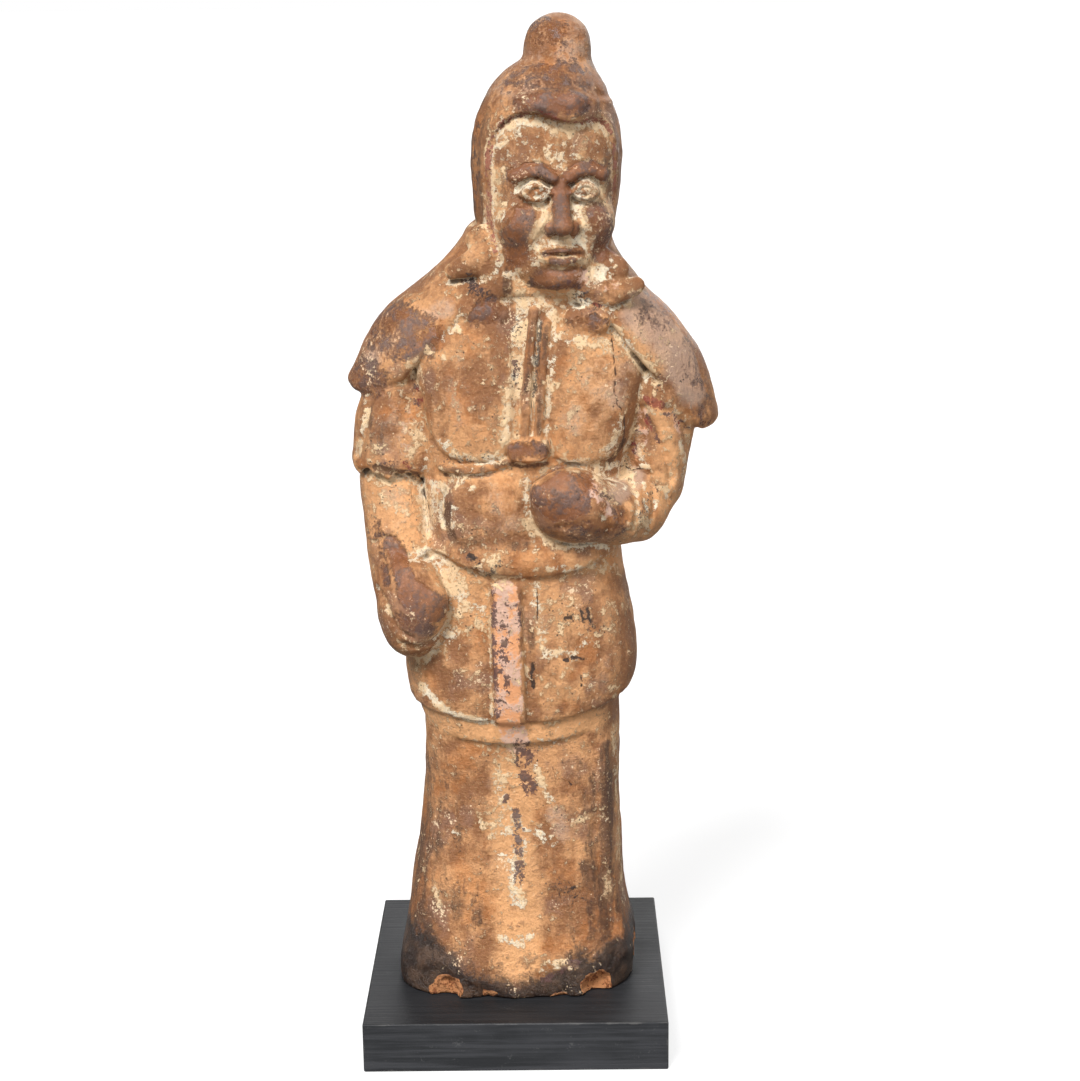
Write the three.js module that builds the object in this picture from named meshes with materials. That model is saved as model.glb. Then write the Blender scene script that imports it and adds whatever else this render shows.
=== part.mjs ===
// A pottery guardian figure standing on a square wooden plinth.
//
// The guardian wears a close hood with a round knob on top, a short cape over both shoulders,
// two swelling breast plates tied by a pair of cords, a rolled belt, a jacket skirt with a bordered
// hem and a hanging sash, and a long robe that flares at the foot. One fist hangs at the right side
// and the other is held across the belt.
//
// Millimetres, +Z up, the figure faces -Y, and +X is the side of the raised fist.
// The origin is the centre of the plinth's underside.
import * as THREE from "three";
import { mergeVertices } from "three/addons/utils/BufferGeometryUtils.js";

// Driving dimensions
const PLINTH_WIDTH = 152;
const PLINTH_DEPTH = 152;
const PLINTH_HEIGHT = 26;
const PLINTH_EASING = 0.7; // the small bevel along every edge of the block
const SEAT_CLEARANCE = 0.3; // between the plinth's top and the figure's underside
const FIGURE_HEIGHT = 485;

// The figure is drawn on a canon of 485 parts to its height, and PART is one of them.
// All the numbers of the figure below are in these parts, measured from the middle of its underside.
const CANON = 485;
const PART = FIGURE_HEIGHT / CANON;

// How finely the figure's surface is cut, and how often its vertices are spread evenly over it
const COLUMNS = 68;
const FRONT_CROWDING = 0.42; // columns stand closer at the front, where the carving is
const CROWN_ROWS = 11;
const SPREADINGS = 24;
const STRAIN = 1.7; // a vertex is moved where its longest edge is this many times its shortest
const HEAD_MIDDLE = 415;
const CHIN_LEVEL = 352;
const BELT_LEVEL = 222;
const HEM_LEVELS = { high: 156, low: 129 };
const FOOT_LEVEL = 18;
const LEVELS = [
  { from: HEAD_MIDDLE, to: CHIN_LEVEL, step: 3.7 },
  { from: CHIN_LEVEL, to: BELT_LEVEL, step: 7.2 },
  { from: BELT_LEVEL, to: HEM_LEVELS.high, step: 7.4 },
  { from: HEM_LEVELS.high, to: HEM_LEVELS.low, step: 3.9 },
  { from: HEM_LEVELS.low, to: FOOT_LEVEL, step: 16 },
  { from: FOOT_LEVEL, to: 0, step: 4.5 },
];

// Small helpers on numbers
const { clamp, lerp, smoothstep } = THREE.MathUtils;
const square = (n) => n * n;

// The union of two solids whose joint is softened over the width k
function melt(a, b, k) {
  const near = Math.max(k - Math.abs(a - b), 0) / k;
  return Math.min(a, b) - near * near * k * 0.25;
}

// Solid a with solid b taken out of it, the edge softened over the width k
const scoop = (a, b, k) => -melt(-a, b, k);

// The part of solid a that is also in solid b, the edge softened over the width k
const trim = (a, b, k) => -melt(-a, -b, k);

// A smooth curve through rows of keys [at, value, value, ...]: the values at one place
function alongKeys(keys, at) {
  const past = keys.findIndex(([place]) => place > at);
  if (past === 0) return keys[0].slice(1);
  if (past < 0) return keys[keys.length - 1].slice(1);
  const [before, a, b, after] = [past - 2, past - 1, past, past + 1].map(
    (i) => keys[clamp(i, 0, keys.length - 1)],
  );
  const span = b[0] - a[0];
  const t = (at - a[0]) / span;
  const [t2, t3] = [t * t, t * t * t];
  return a.slice(1).map((_, i) => {
    const column = i + 1;
    const slopeA = (b[column] - before[column]) / (b[0] - before[0]);
    const slopeB = (after[column] - a[column]) / (after[0] - a[0]);
    const bend = span * (slopeA * (t3 - 2 * t2 + t) + slopeB * (t3 - t2));
    return a[column] * (2 * t3 - 3 * t2 + 1) + b[column] * (3 * t2 - 2 * t3) + bend;
  });
}

// The last section read from each table of keys, because a level sight line reads one again and again
const lastSection = new Map();

function sectionAt(keys, z) {
  const last = lastSection.get(keys);
  if (last && last.z === z) return last.values;
  const values = alongKeys(keys, z);
  lastSection.set(keys, { z, values });
  return values;
}

// A tall form given by its level sections: rows of [z, left, right, front, back], each section
// a rounded rectangle whose squareness runs from 2, an ellipse, upwards
function tower(p, keys, squareness) {
  const [left, right, front, back] = sectionAt(keys, p.z);
  const x = p.x - (left + right) / 2;
  const y = p.y - (front + back) / 2;
  const reach =
    (Math.abs((2 * x) / (right - left)) ** squareness +
      Math.abs((2 * y) / (back - front)) ** squareness) **
    (1 / squareness);
  if (reach < 1e-6) return -Math.min(right - left, back - front) / 2;
  return Math.hypot(x, y) * (1 - 1 / reach);
}

// A ball with flattened sides
function cushion(p, [x, y, z], [rx, ry, rz], squareness) {
  const [dx, dy, dz] = [p.x - x, p.y - y, p.z - z];
  const reach =
    (Math.abs(dx / rx) ** squareness + Math.abs(dy / ry) ** squareness + Math.abs(dz / rz) ** squareness) **
    (1 / squareness);
  if (reach < 1e-6) return -Math.min(rx, ry, rz);
  return Math.hypot(dx, dy, dz) * (1 - 1 / reach);
}

function ellipsoid(p, x, y, z, rx, ry, rz) {
  const [dx, dy, dz] = [(p.x - x) / rx, (p.y - y) / ry, (p.z - z) / rz];
  const k = Math.hypot(dx, dy, dz);
  const g = Math.hypot(dx / rx, dy / ry, dz / rz);
  return g < 1e-9 ? -Math.min(rx, ry, rz) : (k * (k - 1)) / g;
}

// A limb from one ball [x, y, z, radius] to another
function limb(p, [ax, ay, az, ar], [bx, by, bz, br]) {
  const [dx, dy, dz] = [bx - ax, by - ay, bz - az];
  const [px, py, pz] = [p.x - ax, p.y - ay, p.z - az];
  const t = clamp((px * dx + py * dy + pz * dz) / (dx * dx + dy * dy + dz * dz), 0, 1);
  return Math.hypot(px - dx * t, py - dy * t, pz - dz * t) - lerp(ar, br, t);
}

// Distance from (x, z) to an open line drawn on the front
function toLine(x, z, line) {
  let best = Infinity;
  for (let i = 1; i < line.length; i++) {
    const [ax, az] = line[i - 1];
    const [dx, dz] = [line[i][0] - ax, line[i][1] - az];
    const t = clamp(((x - ax) * dx + (z - az) * dz) / (dx * dx + dz * dz), 0, 1);
    best = Math.min(best, Math.hypot(x - ax - dx * t, z - az - dz * t));
  }
  return best;
}

// Distance from (x, z) to a closed outline drawn on the front, negative inside
function toOutline(x, z, outline) {
  const closed = [...outline, outline[0]];
  let inside = false;
  for (let i = 1; i < closed.length; i++) {
    const [[ax, az], [bx, bz]] = [closed[i - 1], closed[i]];
    if (az > z !== bz > z && x < ax + ((z - az) * (bx - ax)) / (bz - az)) inside = !inside;
  }
  return toLine(x, z, closed) * (inside ? -1 : 1);
}

// Height of a pillow that fills an outline, rising to its full height over the width of its rim
const pillow = (distance, rim, height) =>
  height * Math.sqrt(1 - square(1 - clamp(-distance / rim, 0, 1)));

// Height of a rounded ridge of the given half width, at a distance from its middle
const ridge = (distance, halfWidth, height) =>
  height * Math.sqrt(Math.max(1 - square(distance / halfWidth), 0));

// Height of a soft swelling that fades out over its half width
const swell = (distance, halfWidth, height) => height * (1 - smoothstep(distance, 0, halfWidth));

// 1 on the front of the figure, falling to 0 round its sides
const onFront = (p) => 1 - smoothstep(p.y, -16, -6);

// Robe, from the foot up to where it goes under the jacket
const ROBE = [
  [0, -60.5, 60, -49, 44],
  [9, -60.2, 61, -48, 44],
  [19, -58.8, 62, -46.5, 42.5],
  [30, -56.8, 59.2, -44.8, 41],
  [40, -55, 57.2, -43.4, 40],
  [55, -52.6, 55.6, -42, 39],
  [72, -49.6, 55, -40.8, 38],
  [90, -47, 53.8, -39.8, 37],
  [106, -45.4, 54, -39.4, 36],
  [124, -45, 54.4, -39.6, 36],
  [160, -46, 54, -40, 36],
];
const ROBE_TOP = 164;
const FOOT = 30; // up to here the surface keeps its level rows
const ROBE_SQUARENESS = 3.3;

// Places where the foot is chipped away: [x, y, z, radii]
const CHIPS = [
  [-37, -51.5, 5, 10.5, 9, 9.5],
  [43, -49, 4, 10.5, 10, 8.5],
  [65, -14, 15, 6.5, 11, 8.5],
];

function robe(p) {
  // The foot is pressed out into a low uneven lip
  const lip = swell(toLine(p.x, p.z, FOOT_LIP), 8, 1.6) * onFront(p);
  const waves = 0.9 * Math.sin(p.x * 0.19 + 1) * (1 - smoothstep(p.z, 4, 26));
  let solid = tower(p, ROBE, ROBE_SQUARENESS) - lip - waves;
  solid = trim(solid, p.z - ROBE_TOP, 2);
  for (const chip of CHIPS) solid = scoop(solid, ellipsoid(p, ...chip), 1);
  return solid;
}
const FOOT_LIP = [
  [-48, 15],
  [-40, 18],
  [-33, 17],
  [-25, 12.5],
  [-17, 8.5],
  [-9, 5],
  [-2, 2],
];

// Skirt of the jacket, with its border along the hem
const JACKET = [
  [134, -44, 51.5, -46, 37],
  [146, -49.6, 55, -47, 38],
  [154, -52, 58.6, -47.4, 38.5],
  [163, -53.2, 62.2, -47.4, 39],
  [174, -53.5, 63.5, -47.2, 39],
  [186, -52.5, 62, -46.6, 38],
  [202, -50.5, 59, -45.4, 36.5],
  [218, -49, 56, -44, 35],
  [238, -48, 54, -42, 34],
];
const JACKET_SQUARENESS = 2.8;
const JACKET_TOP = 236;
const HEM = { low: 133.5, high: 145.8, middle: 4, rises: [6, 9], over: 50, border: 2.8 };
const SASH = { middle: -1.3, halfWidth: 7.6, low: 139, high: 217, height: 2.4, trough: 1.7 };

// The hem is lowest in the middle and rises to both sides, more to the figure's left
const hemRise = (x) => {
  const rise = HEM.rises[x < HEM.middle ? 0 : 1];
  return rise * Math.min(square((x - HEM.middle) / HEM.over), 1.25);
};

function jacket(p) {
  const z = p.z - hemRise(p.x);
  const border = HEM.border * (1 - smoothstep(z, HEM.high - 1.2, HEM.high + 1.2));
  const across = Math.abs(p.x - SASH.middle);
  const alongSash = smoothstep(p.z, SASH.low, SASH.low + 8) * (1 - smoothstep(p.z, SASH.high - 3, SASH.high));
  const sash =
    SASH.height * (1 - smoothstep(across, SASH.halfWidth - 1.2, SASH.halfWidth + 0.4)) -
    SASH.trough * smoothstep(across, SASH.halfWidth, SASH.halfWidth + 1.5) *
      (1 - smoothstep(across, SASH.halfWidth + 2, SASH.halfWidth + 8));
  const solid = tower(p, JACKET, JACKET_SQUARENESS) + border - sash * alongSash * onFront(p);
  return trim(trim(solid, HEM.low - z, 3), p.z - JACKET_TOP, 4);
}

// Body under the arms and the cape, from the rolled belt to the neck
const TORSO = [
  [217, -44, 52, -42, 33],
  [221, -46, 54, -46.5, 34],
  [227, -46.5, 55, -48.5, 34],
  [233, -45, 55, -47, 34],
  [238, -43, 55, -43, 34],
  [262, -43, 57, -41, 34],
  [300, -47, 64, -39, 37],
  [322, -48, 67, -36.5, 38],
  [342, -38, 58, -33.5, 36],
  [360, -14, 48, -31.5, 32],
  [388, -8, 46, -26, 28],
];
const TORSO_SQUARENESS = 3.1;
const BELT_FOOT = { low: 219, rise: 8, middle: 12, over: 36 };
const NECK_TOP = 390;
const BELLY = { centre: [-8.5, -33.5, 250], radii: [22.5, 13.5, 22], squareness: 2.7 };

// The two breast plates, the cords between them, the buckle below and the cord along their foot
const RIGHT_PLATE = [
  [-20, 349],
  [-34, 339],
  [-44, 324],
  [-41, 308],
  [-36, 288],
  [-28, 277.5],
  [-4, 277],
  [2, 285],
  [3, 310],
  [0, 340],
];
const LEFT_PLATE = [
  [23, 338],
  [48, 343],
  [63, 329],
  [69, 316],
  [64, 298],
  [57, 280],
  [45, 274.5],
  [26, 275.5],
  [21, 284],
  [20, 312],
];
const PLATE = { rim: 7, height: 4 };
const CORDS = [
  [[13, 348], [11.5, 330], [9.5, 310], [8.5, 288]],
  [[19, 342], [17.5, 325], [16, 305], [15, 288]],
];
const CORD = { halfWidth: 2.3, height: 2.2 };
const BUCKLE = { outline: [[0.5, 286.5], [18.5, 287], [19, 278], [11, 275.5], [1, 278]], rim: 2.4, height: 4.6 };
const GIRTH_CORD = { line: [[2, 277], [-8, 273], [-18, 271.5], [-34, 273]], halfWidth: 3, height: 2.6 };

function torso(p) {
  const front = onFront(p);
  let carving = 0;
  for (const outline of [RIGHT_PLATE, LEFT_PLATE])
    carving = Math.max(carving, pillow(toOutline(p.x, p.z, outline), PLATE.rim, PLATE.height));
  for (const line of CORDS)
    carving = Math.max(carving, ridge(toLine(p.x, p.z, line), CORD.halfWidth, CORD.height));
  carving = Math.max(
    carving,
    pillow(toOutline(p.x, p.z, BUCKLE.outline), BUCKLE.rim, BUCKLE.height),
    ridge(toLine(p.x, p.z, GIRTH_CORD.line), GIRTH_CORD.halfWidth, GIRTH_CORD.height),
  );
  const belly = cushion(p, BELLY.centre, BELLY.radii, BELLY.squareness);
  const trunk = melt(tower(p, TORSO, TORSO_SQUARENESS), belly, 4);
  const foot = BELT_FOOT.low + BELT_FOOT.rise * Math.min(square((p.x - BELT_FOOT.middle) / BELT_FOOT.over), 1.6);
  const carved = trim(trunk - carving * front, foot - p.z, 3);
  return trim(carved, p.z - NECK_TOP, 3);
}

// Cape over both shoulders, with its lower edge at a height that runs round the figure
const CAPE = [
  [280, -68, 101, -27, 40],
  [288, -72, 103.4, -29, 41.5],
  [298, -77, 103.4, -32, 43],
  [311, -79.4, 100, -35, 43.5],
  [325, -73.4, 94.4, -37, 42.5],
  [339, -64.5, 84.6, -37, 40],
  [347, -58, 77.6, -36, 38.5],
  [354, -50, 69.6, -34.5, 37],
  [361, -40.5, 64, -33, 35.5],
  [369, -31, 58, -31, 34],
  [377, -24, 53.6, -29.5, 33],
  [386, -19, 51, -28, 32],
];
const CAPE_SQUARENESS = 2.35;
const CAPE_EDGE = [
  [-80, 306.5],
  [-70, 304.5],
  [-61, 308],
  [-51, 313],
  [-42, 323],
  [-32, 333],
  [-20, 345],
  [0, 352],
  [28, 352],
  [48, 342],
  [58, 330],
  [68, 318],
  [76, 308],
  [84, 300],
  [90, 289],
  [96, 285],
  [104, 285],
];
const CAPE_BACK_EDGE = 300;
const CAPE_TOP = 388;

function cape(p) {
  const edge = lerp(alongKeys(CAPE_EDGE, p.x)[0], CAPE_BACK_EDGE, smoothstep(p.y, 4, 30));
  const mantle = trim(tower(p, CAPE, CAPE_SQUARENESS), p.z - CAPE_TOP, 6);
  return trim(mantle, (edge - p.z) * 0.8, 5);
}

// Arm at the figure's right: full sleeve, plain forearm and hanging fist. Joints are balls
// [x, y, z, radius], and the parts of a fist are [x, y, z, radii].
const SLEEVE_FOOT = 267;
const HANGING = {
  shoulder: [-50, -5, 322, 18],
  upperArm: [-55.5, -8, 288, 19.5],
  sleeveEnd: [-56.6, -9, 274, 21.4],
  innerTop: [-46, -12, 300, 12],
  innerEnd: [-44, -14, 276, 13],
  forearm: [-56.6, -7.4, 262, 18.2],
  wrist: [-52, -26, 216, 16],
  fist: [-47.6, -37, 204.4, 17.8, 19.5, 25.6],
  knuckles: [-40, -46, 209, 11, 9, 12],
};

function hangingArm(p) {
  const arm = HANGING;
  const outer = melt(limb(p, arm.shoulder, arm.upperArm), limb(p, arm.upperArm, arm.sleeveEnd), 6);
  const sleeve = melt(outer, limb(p, arm.innerTop, arm.innerEnd), 6);
  const forearm = limb(p, arm.forearm, arm.wrist);
  const hand = melt(ellipsoid(p, ...arm.fist), ellipsoid(p, ...arm.knuckles), 3);
  return melt(melt(trim(sleeve, SLEEVE_FOOT - p.z, 2.5), forearm, 2), hand, 5);
}

// Arm at the figure's left: sleeve with curved folds, then the forearm laid across the belt
const SLEEVE_FOLDS = [
  [[66.5, 299], [68.5, 292], [71.5, 285], [75, 277], [78.5, 269], [79, 262]],
  [[77, 299], [82, 292], [86.5, 285], [88.5, 276]],
];
const SLEEVE_FOLD = { halfWidth: 3, depth: 1.8 };
const CUFF_FOLD = { line: [[39, 274], [44, 266], [45.5, 254], [42.5, 242]], halfWidth: 4, depth: 1.5 };

const RAISED = {
  shoulder: [71, -2, 304, 24],
  upperArm: [69.5, -9, 260.5, 17.3],
  elbow: [61.2, -19, 248, 16.6],
  forearm: [51, -33, 248.8, 15.2],
  wrist: [35, -43, 254.5, 17.5],
  fist: [29, -43, 256, 18.5, 16.5, 18],
  knuckles: [26, -51, 262.5, 13, 9, 12],
  thumb: [15.5, -49, 262, 5.5, 7, 8],
};

function raisedArm(p) {
  const arm = RAISED;
  const upper = limb(p, arm.shoulder, arm.upperArm);
  const elbow = limb(p, arm.elbow, arm.forearm);
  const wrist = limb(p, arm.forearm, arm.wrist);
  let folds = 0;
  for (const line of SLEEVE_FOLDS)
    folds = Math.max(folds, ridge(toLine(p.x, p.z, line), SLEEVE_FOLD.halfWidth, SLEEVE_FOLD.depth));
  folds += swell(toLine(p.x, p.z, CUFF_FOLD.line), CUFF_FOLD.halfWidth, CUFF_FOLD.depth);
  const sleeve = melt(upper, melt(elbow, wrist, 3), 7) + folds * onFront(p);
  const fist = melt(ellipsoid(p, ...arm.fist), ellipsoid(p, ...arm.knuckles), 4);
  return melt(sleeve, melt(fist, ellipsoid(p, ...arm.thumb), 3), 3);
}

// Head, turned a little towards the raised fist. Its own frame has u across the face,
// w towards the viewer and z up, from the middle of the head.
const HEAD = { x: 20, y: -1, turn: THREE.MathUtils.degToRad(10) };
const HOOD = [
  [352, -10, 50, -28, 28],
  [377, -12, 51.6, -32, 31],
  [390, -15, 53.8, -36, 33.5],
  [405, -16, 55.8, -38.5, 35],
  [418, -16.2, 56.6, -40, 35.5],
  [426, -15.6, 56.2, -40.5, 35],
  [433, -14.4, 55, -40.5, 34],
  [440, -12.3, 53, -39.5, 32],
  [447, -8.8, 50, -36.5, 29],
  [452, -5.6, 48.2, -33, 26],
  [457, -1.2, 44.8, -28, 21.5],
  [462, 5, 40, -20, 14],
  [466, 14, 32, -10, 6],
];
const KNOB = { low: [25.2, -2, 452, 18.5], high: [25.6, -2.5, 468.6, 16.2] };
const HOOD_SQUARENESS = 2.15;
const HOOD_CAP = 464;
const BRIM = [
  [8, -34.6, 446, 3.4],
  [20, -36.4, 444.6, 5.2],
  [32, -34, 444, 6],
  [40.5, -29.4, 443.8, 4.8],
];
const OPENING = [
  [-23, 356],
  [-29, 372],
  [-31, 388],
  [-31.5, 415],
  [-29.5, 428],
  [-23.5, 437],
  [-13, 440.5],
  [-5, 438.5],
  [3, 435.8],
  [12, 435.8],
  [20, 436.5],
  [26, 430],
  [28.5, 412],
  [28, 388],
  [25.5, 370],
  [21, 356],
];

// Level sections of the face: [z, -half width, half width, -front, back]
const FACE = [
  [352, -9, 9, -29, 20],
  [357, -16, 16, -35, 20],
  [363, -22.5, 22.5, -38, 20],
  [372, -29, 27, -38.6, 20],
  [385, -33, 30, -38.2, 20],
  [400, -34, 31, -37.4, 20],
  [412, -34.5, 32.5, -37.2, 20],
  [425, -34, 33, -36.6, 20],
  [440, -31, 30.5, -34, 20],
];
const FACE_SQUARENESS = 2.4;
const FACE_TOP = 446;

// The face keeps to the classical rule of thirds: chin to nose, nose to brow, brow to hairline.
const CHIN = 357;
const THIRD = 27;
const NOSE_BASE = CHIN + THIRD;
const BROW = NOSE_BASE + THIRD;
const EYE = BROW - THIRD / 4;
const MOUTH = NOSE_BASE - THIRD / 3;
const EYE_APART = 11.6; // from the middle of the face to the middle of an eye
const SKIN = 37.6; // how far the skin lies in front of the head's middle

function features(q, skin) {
  const side = { x: Math.abs(q.x), y: q.y, z: q.z };
  let face = skin;
  face = scoop(face, ellipsoid(side, EYE_APART, -SKIN - 3, EYE - 0.4, 9.6, 6.6, 6.8), 5);
  face = melt(face, limb(side, [4, -SKIN + 0.6, BROW - 0.3, 3], [19, -SKIN + 6, BROW - 1, 2.8]), 4);
  face = melt(face, limb(q, [0, -SKIN + 1.6, BROW - 2, 4], [0, -SKIN - 5, NOSE_BASE + 4.8, 4.8]), 4);
  face = melt(face, ellipsoid(side, 5.4, -SKIN - 1.4, NOSE_BASE + 3.2, 3.4, 4.6, 3.4), 1.5);
  face = melt(face, ellipsoid(side, EYE_APART, -SKIN + 2.4, EYE, 7, 5.4, 4.7), 1.2);
  face = melt(face, ellipsoid(side, 16, -SKIN + 7.4, NOSE_BASE + 5, 11, 10.5, 9.5), 7);
  face = melt(face, ellipsoid(q, 0, -SKIN + 0.4, MOUTH + 2.2, 10.4, 3.9, 2.6), 1.5);
  face = melt(face, ellipsoid(q, 0, -SKIN + 0.4, MOUTH - 2.8, 9, 4.2, 2.8), 1.5);
  face = melt(face, ellipsoid(q, 0, -SKIN + 4, CHIN + 6.6, 9.5, 7.8, 6.6), 5);
  return face;
}

function head(p) {
  const [dx, dy] = [p.x - HEAD.x, p.y - HEAD.y];
  const [cos, sin] = [Math.cos(HEAD.turn), Math.sin(HEAD.turn)];
  const q = { x: dx * cos + dy * sin, y: dy * cos - dx * sin, z: p.z };
  let hood = trim(tower(p, HOOD, HOOD_SQUARENESS), p.z - HOOD_CAP, 3);
  hood = melt(hood, limb(p, KNOB.low, KNOB.high), 5);
  for (const [i, end] of BRIM.slice(1).entries()) hood = melt(hood, limb(p, BRIM[i], end), 2.5);
  const opening = Math.max(toOutline(q.x, q.z, OPENING), q.y + 12);
  hood = scoop(hood, opening, 2.5);
  const skin = trim(tower(q, FACE, FACE_SQUARENESS), p.z - FACE_TOP, 3);
  return melt(hood, features(q, skin), 0.8);
}

// The two ends of the kerchief that lie on the chest: limbs from one ball [x, y, z, radius] to
// another, pressed flat, with y counted from the upright plane that they lie in
const LAPPETS = {
  plane: -30,
  flatness: 1.6,
  limbs: [
    [[-11, 7, 381, 7.6], [-5, 1, 372, 10]],
    [[-5, 1, 372, 10], [-3, -1, 361, 8]],
    [[-3, -1, 361, 8], [-9, -1, 355, 7.6]],
    [[-14, -3.6, 346, 5.8], [-5, -4, 347, 6.8]],
    [[-25, 3, 366.5, 4], [-13, 0, 371, 7.4]],
    [[62, 5, 358.5, 4.6], [50, -1.5, 354.5, 5.4]],
    [[40, 5, 374, 7], [52, 5, 366, 7]],
    [[39, 4, 371, 7], [36, 0.5, 361, 9.6]],
    [[36, 0.5, 361, 9.6], [43, -0.5, 357, 8]],
    [[33, -3.4, 343, 7], [43, -3.6, 342.4, 7.2]],
  ],
};

function lappets(p) {
  const { plane, flatness } = LAPPETS;
  const q = { x: p.x, y: (p.y - plane) * flatness, z: p.z };
  const pressed = LAPPETS.limbs.map(([from, to]) => limb(q, from, to) / Math.sqrt(flatness));
  return pressed.reduce((a, b) => melt(a, b, 2));
}

// The levels between which the arms lie, and the lowest one of the kerchief's ends
const ARMS = { low: 180, high: 341 };
const COLLAR_LOW = 338;

// The figure's members from the foot up: the levels that each reaches, and how softly it joins
const MEMBERS = [
  { form: robe, low: 0, high: ROBE_TOP, joint: 1.2 },
  { form: jacket, low: HEM.low, high: JACKET_TOP, joint: 1.2 },
  { form: torso, low: BELT_FOOT.low, high: NECK_TOP, joint: 1.5 },
  { form: hangingArm, low: ARMS.low, high: ARMS.high, joint: 2.5 },
  { form: raisedArm, low: ARMS.low, high: ARMS.high, joint: 2.5 },
  { form: cape, low: CAPE[0][0], high: CAPE_TOP, joint: 1.6 },
  { form: lappets, low: COLLAR_LOW, high: NECK_TOP, joint: 1.6 },
  { form: head, low: HOOD[0][0], high: CANON, joint: 1.8 },
];
const CLEAR = 12; // a member this far above or below a point can't touch it

// The whole figure as one field: negative inside the clay
function guardian(p) {
  let clay = CLEAR;
  for (const { form, low, high, joint } of MEMBERS)
    if (p.z > low - CLEAR && p.z < high + CLEAR) clay = melt(clay, form(p), joint);
  return clay;
}

// The levels at which rows of the surface lie, from the middle of the head down to the foot
function rowLevels() {
  const levels = [];
  for (const { from, to, step } of LEVELS) {
    const count = Math.round((from - to) / step);
    for (let i = 0; i < count; i++) levels.push(lerp(from, to, i / count));
  }
  return [...levels, 0];
}

// The line on which one point of the surface is looked for: [start on the axis, direction]
function sightLine(row, column, levels) {
  const turn = (column / COLUMNS) * 2 * Math.PI;
  const angle = turn - FRONT_CROWDING * Math.sin(turn);
  const outward = new THREE.Vector3(Math.sin(angle), -Math.cos(angle), 0);
  const heart = new THREE.Vector3(HEAD.x, HEAD.y, levels[0]);
  if (row < CROWN_ROWS) {
    const crown = new THREE.Vector3(...KNOB.high).setZ(CANON).sub(heart).normalize();
    const rise = (1 - row / CROWN_ROWS) ** 0.8;
    return [heart, outward.lerp(crown, rise).normalize()];
  }
  const level = levels[row - CROWN_ROWS];
  const followsHem = smoothstep(level, 118, 131) * (1 - smoothstep(level, 156, 190));
  const bend = hemRise(50 * outward.x) * followsHem;
  const lean = smoothstep(level, 120, 380);
  return [new THREE.Vector3(lerp(0, HEAD.x, lean), HEAD.y, level + bend), outward];
}

// The outermost point of the clay on a sight line, halving the last step until it is found
function surfacePoint([start, direction]) {
  const beyond = 150;
  const point = new THREE.Vector3();
  const at = (reach) => guardian(point.copy(direction).multiplyScalar(reach).add(start));
  let outside = beyond;
  let inside = beyond;
  while (inside > 0) {
    const gap = at(inside);
    if (gap < 0) break;
    outside = inside;
    inside -= Math.max(gap * 0.5, 0.4);
  }
  for (let halving = 0; halving < 14; halving++) {
    const middle = (inside + outside) / 2;
    if (at(middle) < 0) inside = middle;
    else outside = middle;
  }
  return point.copy(direction).multiplyScalar(inside).add(start);
}

// Moves a point that lies near the surface of the clay onto it
function settle(point) {
  const touch = 0.05;
  for (let step = 0; step < 2; step++) {
    const gap = guardian(point);
    const slope = new THREE.Vector3(
      guardian({ x: point.x + touch, y: point.y, z: point.z }) - gap,
      guardian({ x: point.x, y: point.y + touch, z: point.z }) - gap,
      guardian({ x: point.x, y: point.y, z: point.z + touch }) - gap,
    ).divideScalar(touch);
    point.addScaledVector(slope, -clamp(gap, -2, 2) / Math.max(slope.lengthSq(), 0.3));
  }
  return point;
}

// The grid of points with each strained one drawn towards the middle of its four neighbours and
// settled back on the clay. The crown's first row and the rows of the foot stay where they are.
function spread(grid, lastRow) {
  return grid.map((row, r) => {
    if (r === 0 || r > lastRow) return row;
    return row.map((point, c) => {
      const around = [grid[r - 1][c], grid[r + 1][c], row[(c + 1) % COLUMNS], row.at(c - 1)];
      const edges = around.map((next) => next.distanceTo(point));
      if (Math.max(...edges) < STRAIN * Math.min(...edges)) return point;
      const middle = around.reduce((sum, next) => sum.add(next), new THREE.Vector3());
      return settle(middle.divideScalar(around.length).lerp(point, 0.4));
    });
  });
}

// A ball of clay whose vertices are pressed onto the figure's surface, row by row
function guardianGeometry() {
  const levels = rowLevels();
  const rows = CROWN_ROWS + levels.length;
  const footRow = CROWN_ROWS + levels.findIndex((level) => level < FOOT);
  let grid = Array.from({ length: rows }, (_, row) =>
    Array.from({ length: COLUMNS }, (__, column) => surfacePoint(sightLine(row, column, levels))),
  );
  for (let pass = 0; pass < SPREADINGS; pass++) grid = spread(grid, footRow);
  grid.push(Array(COLUMNS).fill(new THREE.Vector3(0, HEAD.y, 0)));

  const ball = new THREE.SphereGeometry(1, COLUMNS, rows);
  const place = ball.getAttribute("position");
  grid.forEach((row, r) => {
    [...row, row[0]].forEach((point, c) => place.setXYZ(r * (COLUMNS + 1) + c, ...point));
  });
  ball.deleteAttribute("normal");
  ball.deleteAttribute("uv");
  return mergeVertices(ball.scale(PART, PART, PART));
}

// The plinth is a block with eased edges
function plinthGeometry() {
  const [x, y] = [PLINTH_WIDTH / 2 - PLINTH_EASING, PLINTH_DEPTH / 2 - PLINTH_EASING];
  const outline = new THREE.Shape([
    new THREE.Vector2(-x, -y),
    new THREE.Vector2(x, -y),
    new THREE.Vector2(x, y),
    new THREE.Vector2(-x, y),
  ]);
  const block = new THREE.ExtrudeGeometry(outline, {
    depth: PLINTH_HEIGHT - 2 * PLINTH_EASING,
    bevelThickness: PLINTH_EASING,
    bevelSize: PLINTH_EASING,
    bevelSegments: 1,
  });
  return block.translate(0, 0, PLINTH_EASING);
}

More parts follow.
